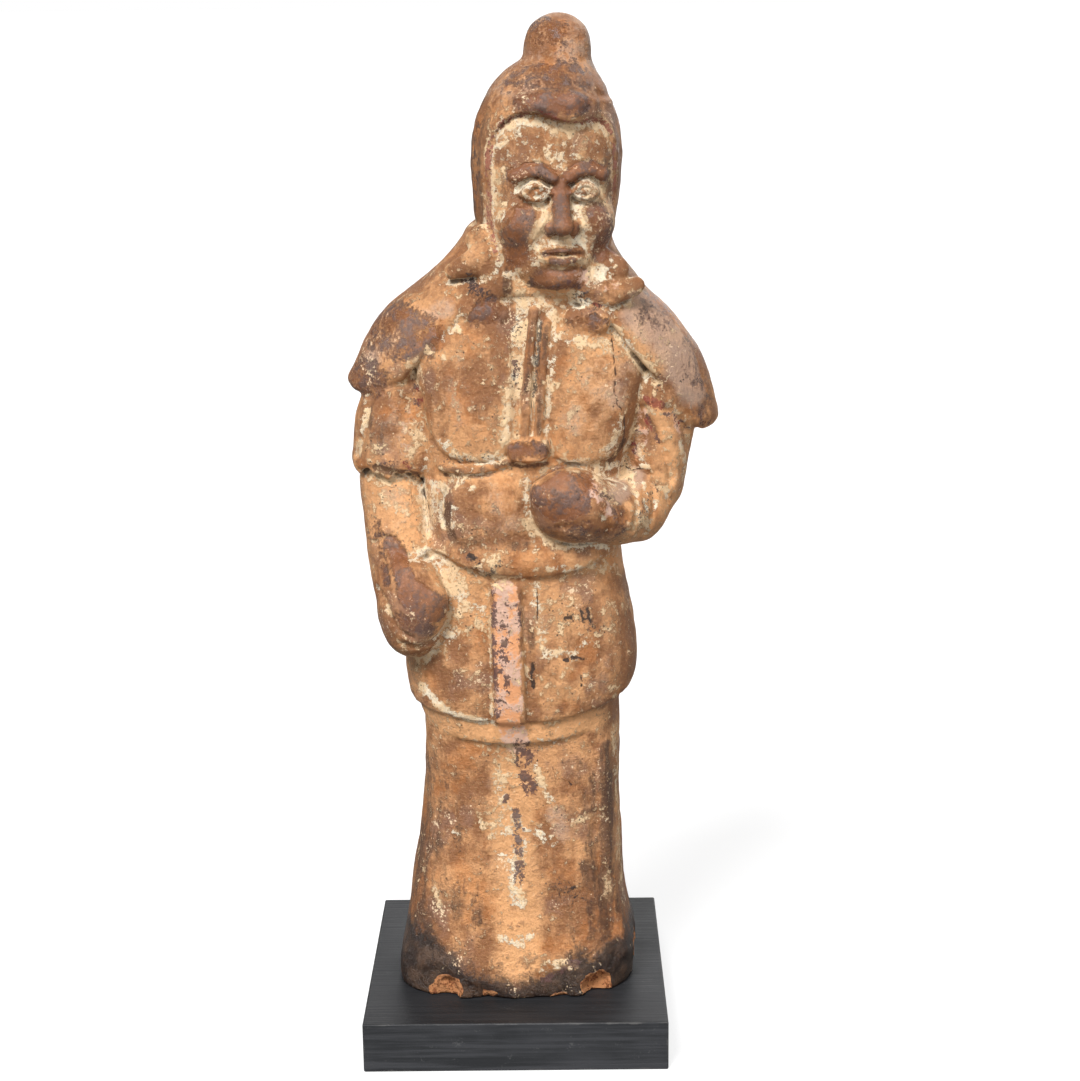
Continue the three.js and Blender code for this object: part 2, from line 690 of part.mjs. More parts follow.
const fired = new THREE.MeshStandardMaterial({ color: 0xb07f55, roughness: 0.62, metalness: 0 });
const blackened = new THREE.MeshStandardMaterial({ color: 0x3b3c3f, roughness: 0.55, metalness: 0 });

const plinth = new THREE.Mesh(plinthGeometry(), blackened);
plinth.name = "plinth";

const figure = new THREE.Mesh(guardianGeometry(), fired);
figure.name = "guardian_figure";
figure.position.z = PLINTH_HEIGHT + SEAT_CLEARANCE;

const part = new THREE.Group();
part.add(plinth, figure);

export default part;
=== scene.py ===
import math

import bpy
import numpy as np
from mathutils import Matrix, Vector


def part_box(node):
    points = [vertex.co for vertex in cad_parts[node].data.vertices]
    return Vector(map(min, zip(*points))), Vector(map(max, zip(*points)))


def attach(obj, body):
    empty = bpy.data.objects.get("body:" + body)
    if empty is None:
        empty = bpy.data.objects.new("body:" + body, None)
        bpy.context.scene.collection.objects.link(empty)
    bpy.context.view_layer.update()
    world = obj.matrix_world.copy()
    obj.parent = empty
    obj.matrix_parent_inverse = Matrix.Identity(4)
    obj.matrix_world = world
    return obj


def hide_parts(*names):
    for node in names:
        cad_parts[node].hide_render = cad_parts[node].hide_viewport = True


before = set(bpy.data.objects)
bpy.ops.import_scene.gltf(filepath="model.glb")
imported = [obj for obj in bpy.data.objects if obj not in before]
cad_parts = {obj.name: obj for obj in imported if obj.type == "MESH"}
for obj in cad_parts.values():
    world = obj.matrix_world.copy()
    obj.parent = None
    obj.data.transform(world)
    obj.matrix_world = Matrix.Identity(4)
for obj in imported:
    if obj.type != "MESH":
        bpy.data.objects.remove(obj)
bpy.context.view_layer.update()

MM = 0.001
CANON = 485
FIGURE_LOW, FIGURE_HIGH = (Vector(corner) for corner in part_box("guardian_figure"))
PART = (FIGURE_HIGH.z - FIGURE_LOW.z) / CANON
CLEAR = 9.0  # the field isn't kept up further out than this
LUMP_COUNT = 4096  # random values behind the lumps, a power of two
CLAY_TRIANGLES = 190000


# Helpers on arrays


def smoothstep(x, low, high):
    t = np.clip((x - low) / (high - low), 0, 1)
    return t * t * (3 - 2 * t)


def melt(a, b, k):
    """The union of two solids, their joint softened over the width k."""
    near = np.maximum(k - np.abs(a - b), 0) / k
    return np.minimum(a, b) - near * near * k * 0.25


def scoop(a, b, k):
    """Solid a with solid b taken out of it."""
    return -melt(-a, b, k)


def trim(a, b, k):
    """The part of solid a that is also in solid b."""
    return -melt(-a, -b, k)


def along_keys(keys, at):
    """The smooth curve through rows of keys [place, value, ...], read at an array of places."""
    table = np.array(keys, float)
    place, values = table[:, 0], table[:, 1:]
    ahead = np.minimum(np.arange(len(place)) + 1, len(place) - 1)
    behind = np.maximum(np.arange(len(place)) - 1, 0)
    slopes = (values[ahead] - values[behind]) / (place[ahead] - place[behind])[:, None]
    at = np.clip(at, place[0], place[-1])
    i = np.clip(np.searchsorted(place, at, side="right") - 1, 0, len(place) - 2)
    span = place[i + 1] - place[i]
    t = (at - place[i]) / span
    t2, t3 = t * t, t * t * t
    columns = []
    for a, b, slope_a, slope_b in zip(values[i].T, values[i + 1].T, slopes[i].T, slopes[i + 1].T):
        bend = span.T * (slope_a * (t3 - 2 * t2 + t).T + slope_b * (t3 - t2).T)
        columns.append((a * (2 * t3 - 3 * t2 + 1).T + b * (3 * t2 - 2 * t3).T + bend).T)
    return columns


def tower(p, keys, squareness):
    """A tall form given by its level sections, rows of [z, left, right, front, back]."""
    x, y, z = p
    left, right, front, back = along_keys(keys, z)
    x = x - (left + right) / 2
    y = y - (front + back) / 2
    across = np.abs(2 * x / (right - left)) ** squareness
    reach = (across + np.abs(2 * y / (back - front)) ** squareness) ** (1 / squareness)
    return np.hypot(x, y) * (1 - 1 / np.maximum(reach, 1e-3))


def ellipsoid(p, centre, radii):
    d = [(p[i] - centre[i]) / radii[i] for i in range(3)]
    k = np.sqrt(d[0] ** 2 + d[1] ** 2 + d[2] ** 2)
    g = np.sqrt(sum((d[i] / radii[i]) ** 2 for i in range(3)))
    return k * (k - 1) / np.maximum(g, 1e-6)


def limb(p, a, b):
    """A limb from one ball (x, y, z, radius) to another."""
    step = [b[i] - a[i] for i in range(3)]
    d = [p[i] - a[i] for i in range(3)]
    t = np.clip(sum(d[i] * step[i] for i in range(3)) / sum(s * s for s in step), 0, 1)
    gap = np.sqrt(sum((d[i] - t * step[i]) ** 2 for i in range(3)))
    return gap - (a[3] + (b[3] - a[3]) * t)


def rounded(points, closed=False, cuts=6):
    """The points of a smooth line through the points given."""
    points = np.array(points, float)
    count = len(points)
    line = []
    for i in range(count if closed else count - 1):
        picks = [i - 1, i, i + 1, i + 2]
        picks = [k % count if closed else min(max(k, 0), count - 1) for k in picks]
        a, b, c, d = points[picks]
        for t in np.arange(cuts) / cuts:
            line.append(0.5 * (2 * b + (c - a) * t + (2 * a - 5 * b + 4 * c - d) * t**2
                               + (3 * b - a - 3 * c + d) * t**3))
    line.append(points[0] if closed else points[-1])
    return np.array(line)


def to_line(x, z, line):
    """Distance from (x, z) to a line drawn on the front."""
    best = np.full(np.broadcast(x, z).shape, 1e9)
    for (ax, az), (bx, bz) in zip(line[:-1], line[1:]):
        dx, dz = bx - ax, bz - az
        t = np.clip(((x - ax) * dx + (z - az) * dz) / (dx * dx + dz * dz), 0, 1)
        best = np.minimum(best, (x - ax - t * dx) ** 2 + (z - az - t * dz) ** 2)
    return np.sqrt(best)


def to_outline(x, z, outline):
    """Distance from (x, z) to a closed outline drawn on the front, negative inside."""
    inside = np.zeros(np.broadcast(x, z).shape, bool)
    for (ax, az), (bx, bz) in zip(outline[:-1], outline[1:]):
        if az != bz:
            crosses = ((az > z) != (bz > z)) & (x < ax + (z - az) * (bx - ax) / (bz - az))
            inside ^= crosses
    return to_line(x, z, outline) * np.where(inside, -1, 1)


def cushion(p, centre, radii, squareness):
    """A ball with flattened sides."""
    d = [p[i] - centre[i] for i in range(3)]
    reach = sum(np.abs(d[i] / radii[i]) ** squareness for i in range(3)) ** (1 / squareness)
    return np.sqrt(d[0] ** 2 + d[1] ** 2 + d[2] ** 2) * (1 - 1 / np.maximum(reach, 1e-3))


def flattened(p, y, factor):
    """The place of p for a form that is pressed flat by a factor about the upright plane at y."""
    return p[0], (p[1] - y) * factor, p[2]


def ridge(distance, half_width, height):
    return height * np.sqrt(np.maximum(1 - (distance / half_width) ** 2, 0))


def swell(distance, half_width, height):
    return height * (1 - smoothstep(distance, 0, half_width))


def strip(distance, half_width, height):
    """A flat band with crisp sides."""
    return height * (1 - smoothstep(distance, half_width - 0.5, half_width + 0.5))


def pillow(distance, rim, height):
    return height * np.sqrt(1 - (1 - np.clip(-distance / rim, 0, 1)) ** 2)


def lumps(p, size, seed):
    """Soft random lumps of about one size, between -1 and 1."""
    table = np.random.default_rng(seed).uniform(-1, 1, LUMP_COUNT)
    cells, fades = [], []
    for axis, prime in zip(p, (73856093, 19349663, 83492791)):
        cell = np.floor(axis / size).astype(np.int64)
        t = axis / size - cell
        cells.append((cell * prime, (cell + 1) * prime))
        fades.append(t * t * (3 - 2 * t))
    total = 0
    for corner in range(8):
        bits = [(corner >> k) & 1 for k in range(3)]
        pick = (cells[0][bits[0]] ^ cells[1][bits[1]] ^ cells[2][bits[2]]) & (LUMP_COUNT - 1)
        weight = 1
        for bit, fade in zip(bits, fades):
            weight = weight * (fade if bit else 1 - fade)
        total = total + table[pick] * weight
    return total


def on_front(p):
    """1 on the front of the figure, falling to 0 round its sides."""
    return 1 - smoothstep(p[1], -16, -6)


# Robe, from the foot up to where it goes under the jacket

ROBE = [
    (0, -60.5, 60, -49, 44), (9, -60.2, 61, -48, 44), (19, -58.8, 62, -46.5, 42.5),
    (30, -56.8, 59.2, -44.8, 41), (40, -55, 57.2, -43.4, 40), (55, -52.6, 55.6, -42, 39),
    (72, -49.6, 55, -40.8, 38), (90, -47, 53.8, -39.8, 37), (106, -45.4, 54, -39.4, 36),
    (124, -45, 54.4, -39.6, 36), (160, -46, 54, -40, 36),
]
ROBE_TOP = 164
ROBE_SQUARENESS = 3.3
FOOT_LIP = rounded([(-48, 15), (-40, 18), (-33, 17), (-25, 12.5), (-17, 8.5), (-9, 5), (-2, 2)])
ROBE_EDGE = rounded([(45, 129), (47, 99), (48, 72), (51, 51), (54, 34), (57, 17)])

# Places where the foot is chipped down to fresh clay: (centre, radii)
CHIPS = [
    ((-37, -51.5, 5), (11, 9, 11)),
    ((43, -49, 4), (10.5, 10, 8.5)),
    ((65, -14, 15), (6.5, 11, 8.5)),
    ((-13, -52, -2), (8, 5, 5)),
    ((22, -51.5, -3), (7, 4.5, 5)),
]


def chip_gap(p):
    """Distance to the nearest chipped place of the foot, with a ragged edge."""
    gap = np.minimum.reduce([ellipsoid(p, centre, radii) for centre, radii in CHIPS])
    return gap + 2.6 * lumps(p, 8, 7) + 1.2 * lumps(p, 3.6, 8)


def robe(p):
    x, y, z = p
    front = on_front(p)
    lip = swell(to_line(x, z, FOOT_LIP), 6, 1.6) * front
    edge = swell(to_line(x, z, ROBE_EDGE), 4.5, 1.5) * (1 - smoothstep(y, -24, -10))
    edge = edge - swell(to_line(x + 6.5, z, ROBE_EDGE), 4, 1.1) * front
    waves = 0.9 * np.sin(x * 0.19 + 1) * (1 - smoothstep(z, 4, 26))
    folds = 0.35 * np.sin(x * 0.33 + 0.4 * np.sin(z * 0.05)) * smoothstep(z, 20, 60)
    solid = tower(p, ROBE, ROBE_SQUARENESS) - lip - edge - waves - folds
    solid = trim(solid, z - ROBE_TOP, 2)
    return scoop(solid, chip_gap(p), 0.6)


# Skirt of the jacket, with its border along the hem and the sash that hangs from the belt

JACKET = [
    (134, -44, 51.5, -46, 37), (146, -49.6, 55, -47, 38), (154, -52, 58.6, -47.4, 38.5),
    (163, -53.2, 62.2, -47.4, 39), (174, -53.5, 63.5, -47.2, 39), (186, -52.5, 62, -46.6, 38),
    (202, -50.5, 59, -45.4, 36.5), (218, -49, 56, -44, 35), (238, -48, 54, -42, 34),
]
JACKET_SQUARENESS = 2.8
JACKET_TOP = 236
HEM_LOW = 133.5
HEM_HIGH = 145.8
HEM_BORDER = 2.8
SASH_MIDDLE = -1.3
SASH_HALF = 7.6
SASH_LOW = 146
SASH_HIGH = 217
JACKET_PLEATS = [
    rounded([(24, 214), (27, 190), (26, 165)]),
    rounded([(44, 212), (49, 190), (50, 168)]),
    rounded([(-27, 176), (-30, 163), (-28, 152)]),
]


def hem_rise(x):
    return np.where(x < 4, 6, 9) * np.minimum(((x - 4) / 50) ** 2, 1.25)


def jacket(p):
    x, y, z = p
    front = on_front(p)
    level = z - hem_rise(x)
    border = HEM_BORDER * (1 - smoothstep(level, HEM_HIGH - 0.9, HEM_HIGH + 0.9))
    across = np.abs(x - SASH_MIDDLE + 0.8 * np.sin(z * 0.07))
    along = smoothstep(z, SASH_LOW - 12, SASH_LOW + 6) * (1 - smoothstep(z, SASH_HIGH - 3, SASH_HIGH))
    raised = 2.4 * (1 - smoothstep(across, SASH_HALF - 0.9, SASH_HALF + 0.4))
    trough = smoothstep(across, SASH_HALF, SASH_HALF + 1.2)
    trough = 1.7 * trough * (1 - smoothstep(across, SASH_HALF + 2, SASH_HALF + 9))
    pleats = sum(swell(to_line(x, z, line), 5, 0.7) for line in JACKET_PLEATS)
    carving = (raised - trough) * along + pleats
    solid = tower(p, JACKET, JACKET_SQUARENESS) + border - carving * front
    return trim(trim(solid, HEM_LOW - level, 2.2), z - JACKET_TOP, 4)


# Body under the arms and the cape, from the rolled belt to the neck

TORSO = [
    (217, -44, 52, -42, 33), (221, -46, 54, -46.5, 34), (227, -46.5, 55, -48.5, 34),
    (233, -45, 55, -47, 34), (238, -43, 55, -43, 34), (262, -43, 57, -41, 34),
    (300, -47, 64, -39, 37), (322, -48, 67, -36.5, 38), (342, -38, 58, -33.5, 36),
    (360, -14, 48, -31.5, 32), (388, -8, 46, -26, 28),
]
TORSO_SQUARENESS = 3.1
NECK_TOP = 390
BELLY = ((-8.5, -33.5, 250), (22.5, 13.5, 22), 2.7)
BELLY_FOLD = rounded([(-33.5, 265), (-36, 254), (-34.5, 244), (-28, 235)])
RIGHT_PLATE = rounded([
    (-20, 349), (-34, 339), (-44, 324), (-41, 308), (-37, 289), (-29, 278.5),
    (-14, 276.5), (-3, 278), (2, 286), (3, 310), (0, 340),
], closed=True)
LEFT_PLATE = rounded([
    (23, 338), (48, 343), (63, 329), (69, 316), (64.5, 300), (57.5, 281),
    (45, 275), (27, 276), (21, 284), (20, 312),
], closed=True)
CORDS = [
    rounded([(13.5, 348), (11.5, 330), (9.5, 310), (8.3, 288)]),
    rounded([(19.5, 342), (17.7, 325), (16, 305), (14.8, 288)]),
]
BUCKLE = rounded([(0.5, 286), (9, 288), (18.5, 286.8), (19, 278.5), (11, 276), (1, 278)], True, 3)
GIRTH_CORD = rounded([(2, 277.5), (-5, 275), (-13, 273.3), (-22, 272.5), (-32, 272.8)])


def belt_foot(x):
    return 219 + 8 * np.minimum(((x - 12) / 36) ** 2, 1.6)


def plate_relief(x, z):
    """The swelling breast plates: a crisp edge, then a low crown."""
    relief = 0
    for outline in (RIGHT_PLATE, LEFT_PLATE):
        gap = to_outline(x, z, outline)
        relief = np.maximum(relief, pillow(gap, 1.8, 1.7) + pillow(gap, 20, 2.4))
    return relief


def torso(p):
    x, y, z = p
    front = on_front(p)
    carving = plate_relief(x, z)
    for line in CORDS:
        carving = np.maximum(carving, strip(to_line(x, z, line), 2.1, 2.8))
    carving = np.maximum(carving, pillow(to_outline(x, z, BUCKLE), 0.9, 5))
    carving = np.maximum(carving, ridge(to_line(x, z, GIRTH_CORD), 2.3, 3.0))
    carving = np.maximum(carving, ridge(to_line(x, z, BELLY_FOLD), 3.0, 1.8))
    trunk = melt(tower(p, TORSO, TORSO_SQUARENESS), cushion(p, *BELLY), 4)
    solid = trim(trunk - carving * front, belt_foot(x) - z, 2.5)
    return trim(solid, z - NECK_TOP, 3)


# Cape over both shoulders, its lower edge at a height that runs round the figure

CAPE = [
    (280, -68, 101, -27, 40), (288, -72, 103.4, -29, 41.5), (298, -77, 103.4, -32, 43),
    (311, -79.4, 100, -35, 43.5), (325, -73.4, 94.4, -37, 42.5), (339, -64.5, 84.6, -37, 40),
    (347, -58, 77.6, -36, 38.5), (354, -50, 69.6, -34.5, 37), (361, -40.5, 64, -33, 35.5),
    (369, -31, 58, -31, 34), (377, -24, 53.6, -29.5, 33), (386, -19, 51, -28, 32),
]
CAPE_SQUARENESS = 2.35
CAPE_TOP = 388
CAPE_EDGE = [
    (-80, 306.5), (-70, 304.5), (-61, 308), (-51, 313), (-42, 323), (-32, 333), (-20, 345),
    (0, 352), (28, 352), (48, 342), (58, 330), (68, 318), (76, 308), (84, 300), (90, 289),
    (96, 285), (104, 285),
]
CAPE_BACK_EDGE = 300


def cape_edge(x, y):
    front_edge = along_keys(CAPE_EDGE, x)[0]
    return front_edge + (CAPE_BACK_EDGE - front_edge) * smoothstep(y, 4, 30)


def cape(p):
    x, y, z = p
    above = z - cape_edge(x, y)
    lip = swell(np.abs(above - 5), 8, 0.9)
    dents = 0.5 * np.sin(x * 0.11 + z * 0.09)
    solid = trim(tower(p, CAPE, CAPE_SQUARENESS) - lip + dents, z - CAPE_TOP, 6)
    return trim(solid, -above * 0.8, 5)


# Arm at the figure's right: full sleeve, plain forearm and hanging fist

SLEEVE_BAND = rounded([(-67, 305), (-69, 291), (-73.5, 276)])
SLEEVE_HOLLOW = rounded([(-48, 302), (-53, 292), (-56, 282)])
SLEEVE_LEDGE = rounded([(-73, 268.5), (-64, 271.5), (-56, 269), (-49, 268.6), (-42.5, 266)])
HAND_CREASES = [
    rounded([(-64, 214), (-60, 211), (-57.5, 204), (-54, 197), (-47, 193)]),
    rounded([(-53, 189.5), (-44, 187.5), (-36, 191), (-29, 198), (-25, 206)]),
    rounded([(-66, 235), (-58, 238.5), (-54, 233), (-48, 228.5), (-40, 228)]),
]
SLEEVE_MIDDLE = (-55.5, -8, 288, 19.5)
SLEEVE_FOOT = 267


def hanging_arm(p):
    x, y, z = p
    front = on_front(p)
    sleeve = melt(limb(p, (-50, -5, 322, 18), SLEEVE_MIDDLE),
                  limb(p, SLEEVE_MIDDLE, (-56.6, -9, 274, 21.4)), 6)
    sleeve = melt(sleeve, limb(p, (-46, -12, 300, 12), (-44, -14, 276, 13)), 6)
    sleeve = sleeve + ridge(to_line(x, z, SLEEVE_BAND), 2.0, 1.5) * front
    sleeve = sleeve + swell(to_line(x, z, SLEEVE_HOLLOW), 7, 1.8) * front
    jag = 1.3 * np.sin(x * 0.38 + 2) + 0.9 * np.sin(x * 0.9 + 1)
    sleeve = trim(sleeve, SLEEVE_FOOT - 0.06 * (x + 56) + jag - z, 1)
    forearm = limb(p, (-56.6, -7.4, 262, 18.2), (-52, -26, 216, 16))
    fist = ellipsoid(p, (-47.6, -37, 204.4), (17.8, 19.5, 25.6))
    knuckle = ellipsoid(p, (-40, -46, 209), (11, 9, 12))
    hand = melt(forearm, melt(fist, knuckle, 3), 5)
    for line in HAND_CREASES:
        hand = hand + ridge(to_line(x, z, line), 1.5, 1.5) * front
    arm = melt(sleeve, hand, 1)
    return arm + ridge(to_line(x, z, SLEEVE_LEDGE), 1.6, 0.8) * front


# Arm at the figure's left: sleeve with curved folds, the forearm laid across the belt

SLEEVE_FOLDS = [
    rounded([(66.5, 299), (68.5, 292), (71.5, 285), (75, 277), (78.5, 269), (79, 262)]),
    rounded([(77, 299), (82, 292), (86.5, 285), (88.5, 276)]),
]
SLEEVE_CREASES = [
    rounded([(59, 272), (64, 268), (69, 266)]),
    rounded([(68, 265), (70.5, 257), (70, 250), (66, 238)]),
    rounded([(39, 270), (45, 262.5), (51, 256.5), (57, 248)]),
    rounded([(59, 263), (62, 255), (60, 243)]),
    rounded([(44, 252), (47.5, 247), (46, 241)]),
    rounded([(70, 262), (76, 258), (78, 252)]),
]
KNUCKLE_CREASE = rounded([(36, 272), (40, 264), (39, 255), (33, 249.5), (24, 248)])
FOREARM = (51, -33, 248.8, 15.2)


def raised_arm(p):
    x, y, z = p
    front = on_front(p)
    upper = limb(p, (71, -2, 304, 24), (69.5, -9, 260.5, 17.3))
    elbow = limb(p, (61.2, -19, 248, 16.6), FOREARM)
    wrist = limb(p, FOREARM, (35, -43, 254.5, 17.5))
    sleeve = melt(upper, melt(elbow, wrist, 3), 7)
    for line in SLEEVE_FOLDS:
        sleeve = sleeve + swell(to_line(x, z, line), 3.4, 2.4) * front
    for line in SLEEVE_CREASES:
        sleeve = sleeve + ridge(to_line(x, z, line), 1.5, 1.3) * front
    fist = melt(ellipsoid(p, (29, -43, 256), (18.5, 16.5, 18)),
                ellipsoid(p, (26, -51, 262.5), (13, 9, 12)), 4)
    fist = melt(fist, ellipsoid(p, (15.5, -49, 262), (5.5, 7, 8)), 2.5)
    fist = fist + swell(to_line(x, z, KNUCKLE_CREASE), 2.6, 1.3) * front
    return melt(sleeve, fist, 4)


# Head. Its own frame has u across the face and w away from the viewer, turned a little towards
# the raised fist.

HEAD_X = 20
HEAD_Y = -1
HEAD_TURN = math.radians(10)
FACE_FRONT = -14  # the face, its opening and its wear lie in front of this w
HOOD = [
    (352, -10, 50, -28, 28), (377, -12, 51.6, -32, 31), (390, -15, 53.8, -36, 33.5),
    (405, -16, 55.8, -38.5, 35), (418, -16.2, 56.6, -40, 35.5), (426, -15.6, 56.2, -40.5, 35),
    (433, -14.4, 55, -40.5, 34), (440, -12.3, 53, -39.5, 32), (447, -8.8, 50, -36.5, 29),
    (452, -5.6, 48.2, -33, 26), (457, -1.2, 44.8, -28, 21.5), (462, 5, 40, -20, 14),
    (466, 14, 32, -10, 6),
]
HOOD_SQUARENESS = 2.15
HOOD_CAP = 464
KNOB_LOW = (25.2, -2, 452, 18.5)
KNOB_HIGH = (25.6, -2.5, 468.6, 16.2)
BRIM = [(8, -34.6, 446, 3.4), (20, -36.4, 444.6, 5.2), (32, -34, 444, 6), (40.5, -29.4, 443.8, 4.8)]
HOOD_GROOVES = [
    rounded([(-7, 441), (-12, 428), (-13, 405), (-11, 377)]),
    rounded([(53.5, 436), (56, 420), (55.5, 400), (52, 378)]),
    rounded([(4, 450), (18, 452.4), (34, 452), (46, 447)]),
]
OPENING = rounded([
    (-23, 356), (-29, 372), (-31, 388), (-31.5, 415), (-29.5, 428), (-23.5, 437), (-13, 440.5),
    (-5, 438.5), (3, 435.8), (12, 435.8), (20, 436.5), (26, 430), (28.5, 412), (28, 388),
    (25.5, 370), (21, 356),
], closed=True, cuts=4)
FACE = [
    (352, -9, 9, -29, 20), (357, -16, 16, -35, 20), (363, -22.5, 22.5, -38, 20),
    (372, -29, 27, -38.6, 20), (385, -33, 30, -38.2, 20), (400, -34, 31, -37.4, 20),
    (412, -34.5, 32.5, -37.2, 20), (425, -34, 33, -36.6, 20), (440, -31, 30.5, -34, 20),
]
FACE_TOP = 446

# The face keeps to the classical rule of thirds: chin to nose, nose to brow, brow to hairline.
CHIN = 357
THIRD = 27
NOSE_BASE = CHIN + THIRD
BROW = NOSE_BASE + THIRD
EYE = BROW - THIRD / 4
MOUTH = NOSE_BASE - THIRD / 3
EYE_APART = 11.6  # from the middle of the face to the middle of an eye
EYE_HALF = 6.6
SKIN = 37.6  # how far the skin lies in front of the head's middle
SMILE_FOLD = [(8, NOSE_BASE + 3), (11, NOSE_BASE - 3), (12.6, MOUTH + 1)]
BROW_LINE = [(4.5, BROW), (9, BROW + 2.8), (15, BROW + 3.4), (21, BROW + 0.6)]
LIP_LINE = [(0, MOUTH + 2.0), (2.6, MOUTH + 3), (9.8, MOUTH + 0.5)]
LIP_PARTING = [(0, MOUTH - 0.1), (3, MOUTH + 0.5), (10.8, MOUTH + 0.3)]


def arc(middle, half, rise, drop=0.0, tilt=0.0):
    """An arched line over a middle point, drooping by drop at its outer end."""
    x, z = middle
    steps = np.linspace(-1, 1, 9)
    return np.stack([x + half * steps, z + rise * (1 - steps**2) - drop * np.maximum(steps, 0) ** 2
                     + tilt * steps], 1)


def face_lines(u, z):
    """The low relief of the face: lids, brows, lips and the hollows between them."""
    side = np.abs(u)
    eye = (EYE_APART, EYE - 0.6)
    upper_lid = ridge(to_line(side, z, arc(eye, EYE_HALF, 4.4, 0.8)), 1.5, 1.5)
    lower_lid = ridge(to_line(side, z, arc(eye, EYE_HALF, -3.1, 0.8)), 1.3, 1.0)
    crease = swell(to_line(side, z, arc((EYE_APART, EYE + 2.8), EYE_HALF + 1.4, 4, 1.4)), 1.6, 0.9)
    brow = pillow(to_line(side, z, BROW_LINE) - 3, 1.6, 2.2)
    pupil = smoothstep(np.abs(np.hypot(side - EYE_APART + 0.4, z - EYE) - 2.2), 0.9, 0.2) * 0.7
    upper_lip = ridge(to_line(side, z, LIP_LINE), 2.1, 1.6)
    lower_lip = ridge(to_line(u, z, arc((0, MOUTH - 0.9), 7.6, -2.3)), 2.5, 1.8)
    parting = ridge(to_line(side, z, LIP_PARTING), 1.0, 1.3)
    philtrum = swell(to_line(side, z, [(0, MOUTH + 4), (0, NOSE_BASE - 1)]), 2.2, 0.9)
    under_lip = swell(to_line(u, z, arc((0, MOUTH - 6.4), 5, -0.8)), 3.2, 1.3)
    smile = swell(to_line(side, z, SMILE_FOLD), 3, 0.9)
    raised = np.maximum.reduce([upper_lid, lower_lid, brow, upper_lip, lower_lip])
    return raised - crease - pupil - parting - philtrum - under_lip - smile


def face(q):
    u, w, z = q
    side = (np.abs(u), w, z)
    skin = trim(tower(q, FACE, 2.4), z - FACE_TOP, 3)
    skin = scoop(skin, ellipsoid(side, (EYE_APART, -SKIN - 3, EYE - 0.4), (9.6, 6.6, 6.8)), 5)
    brow = limb(side, (4, -SKIN + 1.4, BROW - 0.5, 2.8), (19, -SKIN + 6.5, BROW - 1, 2.6))
    skin = melt(skin, brow, 4)
    nose = limb(q, (0, -SKIN + 1.6, BROW - 2, 4.0), (0, -SKIN - 4.4, NOSE_BASE + 5, 4.6))
    skin = melt(skin, nose, 4)
    tip = ellipsoid(q, (0, -SKIN - 6.4, NOSE_BASE + 4.4), (4.6, 4.2, 3.9))
    skin = melt(skin, tip, 2.5)
    wing = ellipsoid(side, (5.4, -SKIN - 1.4, NOSE_BASE + 3.2), (3.2, 4.6, 3.2))
    skin = melt(skin, wing, 1.2)
    nostril = ellipsoid(side, (3.1, -SKIN - 4.2, NOSE_BASE - 0.4), (1.5, 2.2, 1.5))
    skin = scoop(skin, nostril, 0.8)
    eyeball = ellipsoid(side, (EYE_APART, -SKIN + 2.4, EYE), (7, 5.4, 4.7))
    skin = melt(skin, eyeball, 1)
    cheek = ellipsoid(side, (16, -SKIN + 7.4, NOSE_BASE + 5), (11, 10.5, 9.5))
    skin = melt(skin, cheek, 7)
    lips = ellipsoid(q, (0, -SKIN + 2, MOUTH - 0.4), (13, 4.8, 8.4))
    skin = melt(skin, lips, 5)
    chin = ellipsoid(q, (0, -SKIN + 4, CHIN + 6.6), (9.5, 7.8, 6.6))
    skin = melt(skin, chin, 5)
    return skin - face_lines(u, z) * (w < 0)


def head_frame(p):
    x, y, z = p
    cos, sin = math.cos(HEAD_TURN), math.sin(HEAD_TURN)
    u = (x - HEAD_X) * cos + (y - HEAD_Y) * sin
    w = (y - HEAD_Y) * cos - (x - HEAD_X) * sin
    return u, w, z


def hood(p):
    x, y, z = p
    cap = trim(tower(p, HOOD, HOOD_SQUARENESS), z - HOOD_CAP, 3)
    cap = melt(cap, limb(p, KNOB_LOW, KNOB_HIGH), 5)
    for a, b in zip(BRIM[:-1], BRIM[1:]):
        cap = melt(cap, limb(p, a, b), 3.5)
    for line in HOOD_GROOVES:
        cap = cap + ridge(to_line(x, z, line), 1.7, 1.1) * on_front(p)
    u, w, _ = head_frame(p)
    rim = to_outline(u, z, OPENING)
    cap = cap - ridge(rim - 2.2, 2.6, 0.7) * on_front(p)
    return scoop(cap, np.maximum(rim, w + 12), 1.4)


def head(p):
    return melt(hood(p), face(head_frame(p)), 0.5)


# The two twisted ends of the kerchief that lie on the chest: chains of balls (x, y, z, radius),
# pressed flat, with y counted from the plane that they lie in

LAPPET_PLANE = -30
LAPPET_FLATNESS = 1.6
RIGHT_LAPPET = [
    [(-11, 7, 381, 7.6), (-5, 1, 372, 10), (-3, -1, 361, 8)],
    [(-3, -1, 361, 8), (-9, -1, 355, 7.6)],
    [(-14, -3.6, 346, 5.8), (-5, -4, 347, 6.8)],
    [(-25, 3, 366.5, 4), (-13, 0, 371, 7.4)],
]
LEFT_LAPPET = [
    [(62, 5, 358.5, 4.6), (50, -1.5, 354.5, 5.4)],
    [(40, 5, 374, 7), (52, 5, 366, 7)],
    [(39, 4, 371, 7), (36, 0.5, 361, 9.6), (43, -0.5, 357, 8)],
    [(33, -3.4, 343, 7), (43, -3.6, 342.4, 7.2)],
]
RIGHT_FOLD = ((-16, -38, 361.5), (6, 5, 4))
LEFT_FOLD = ((42, -42, 354), (9, 7, 2.2))


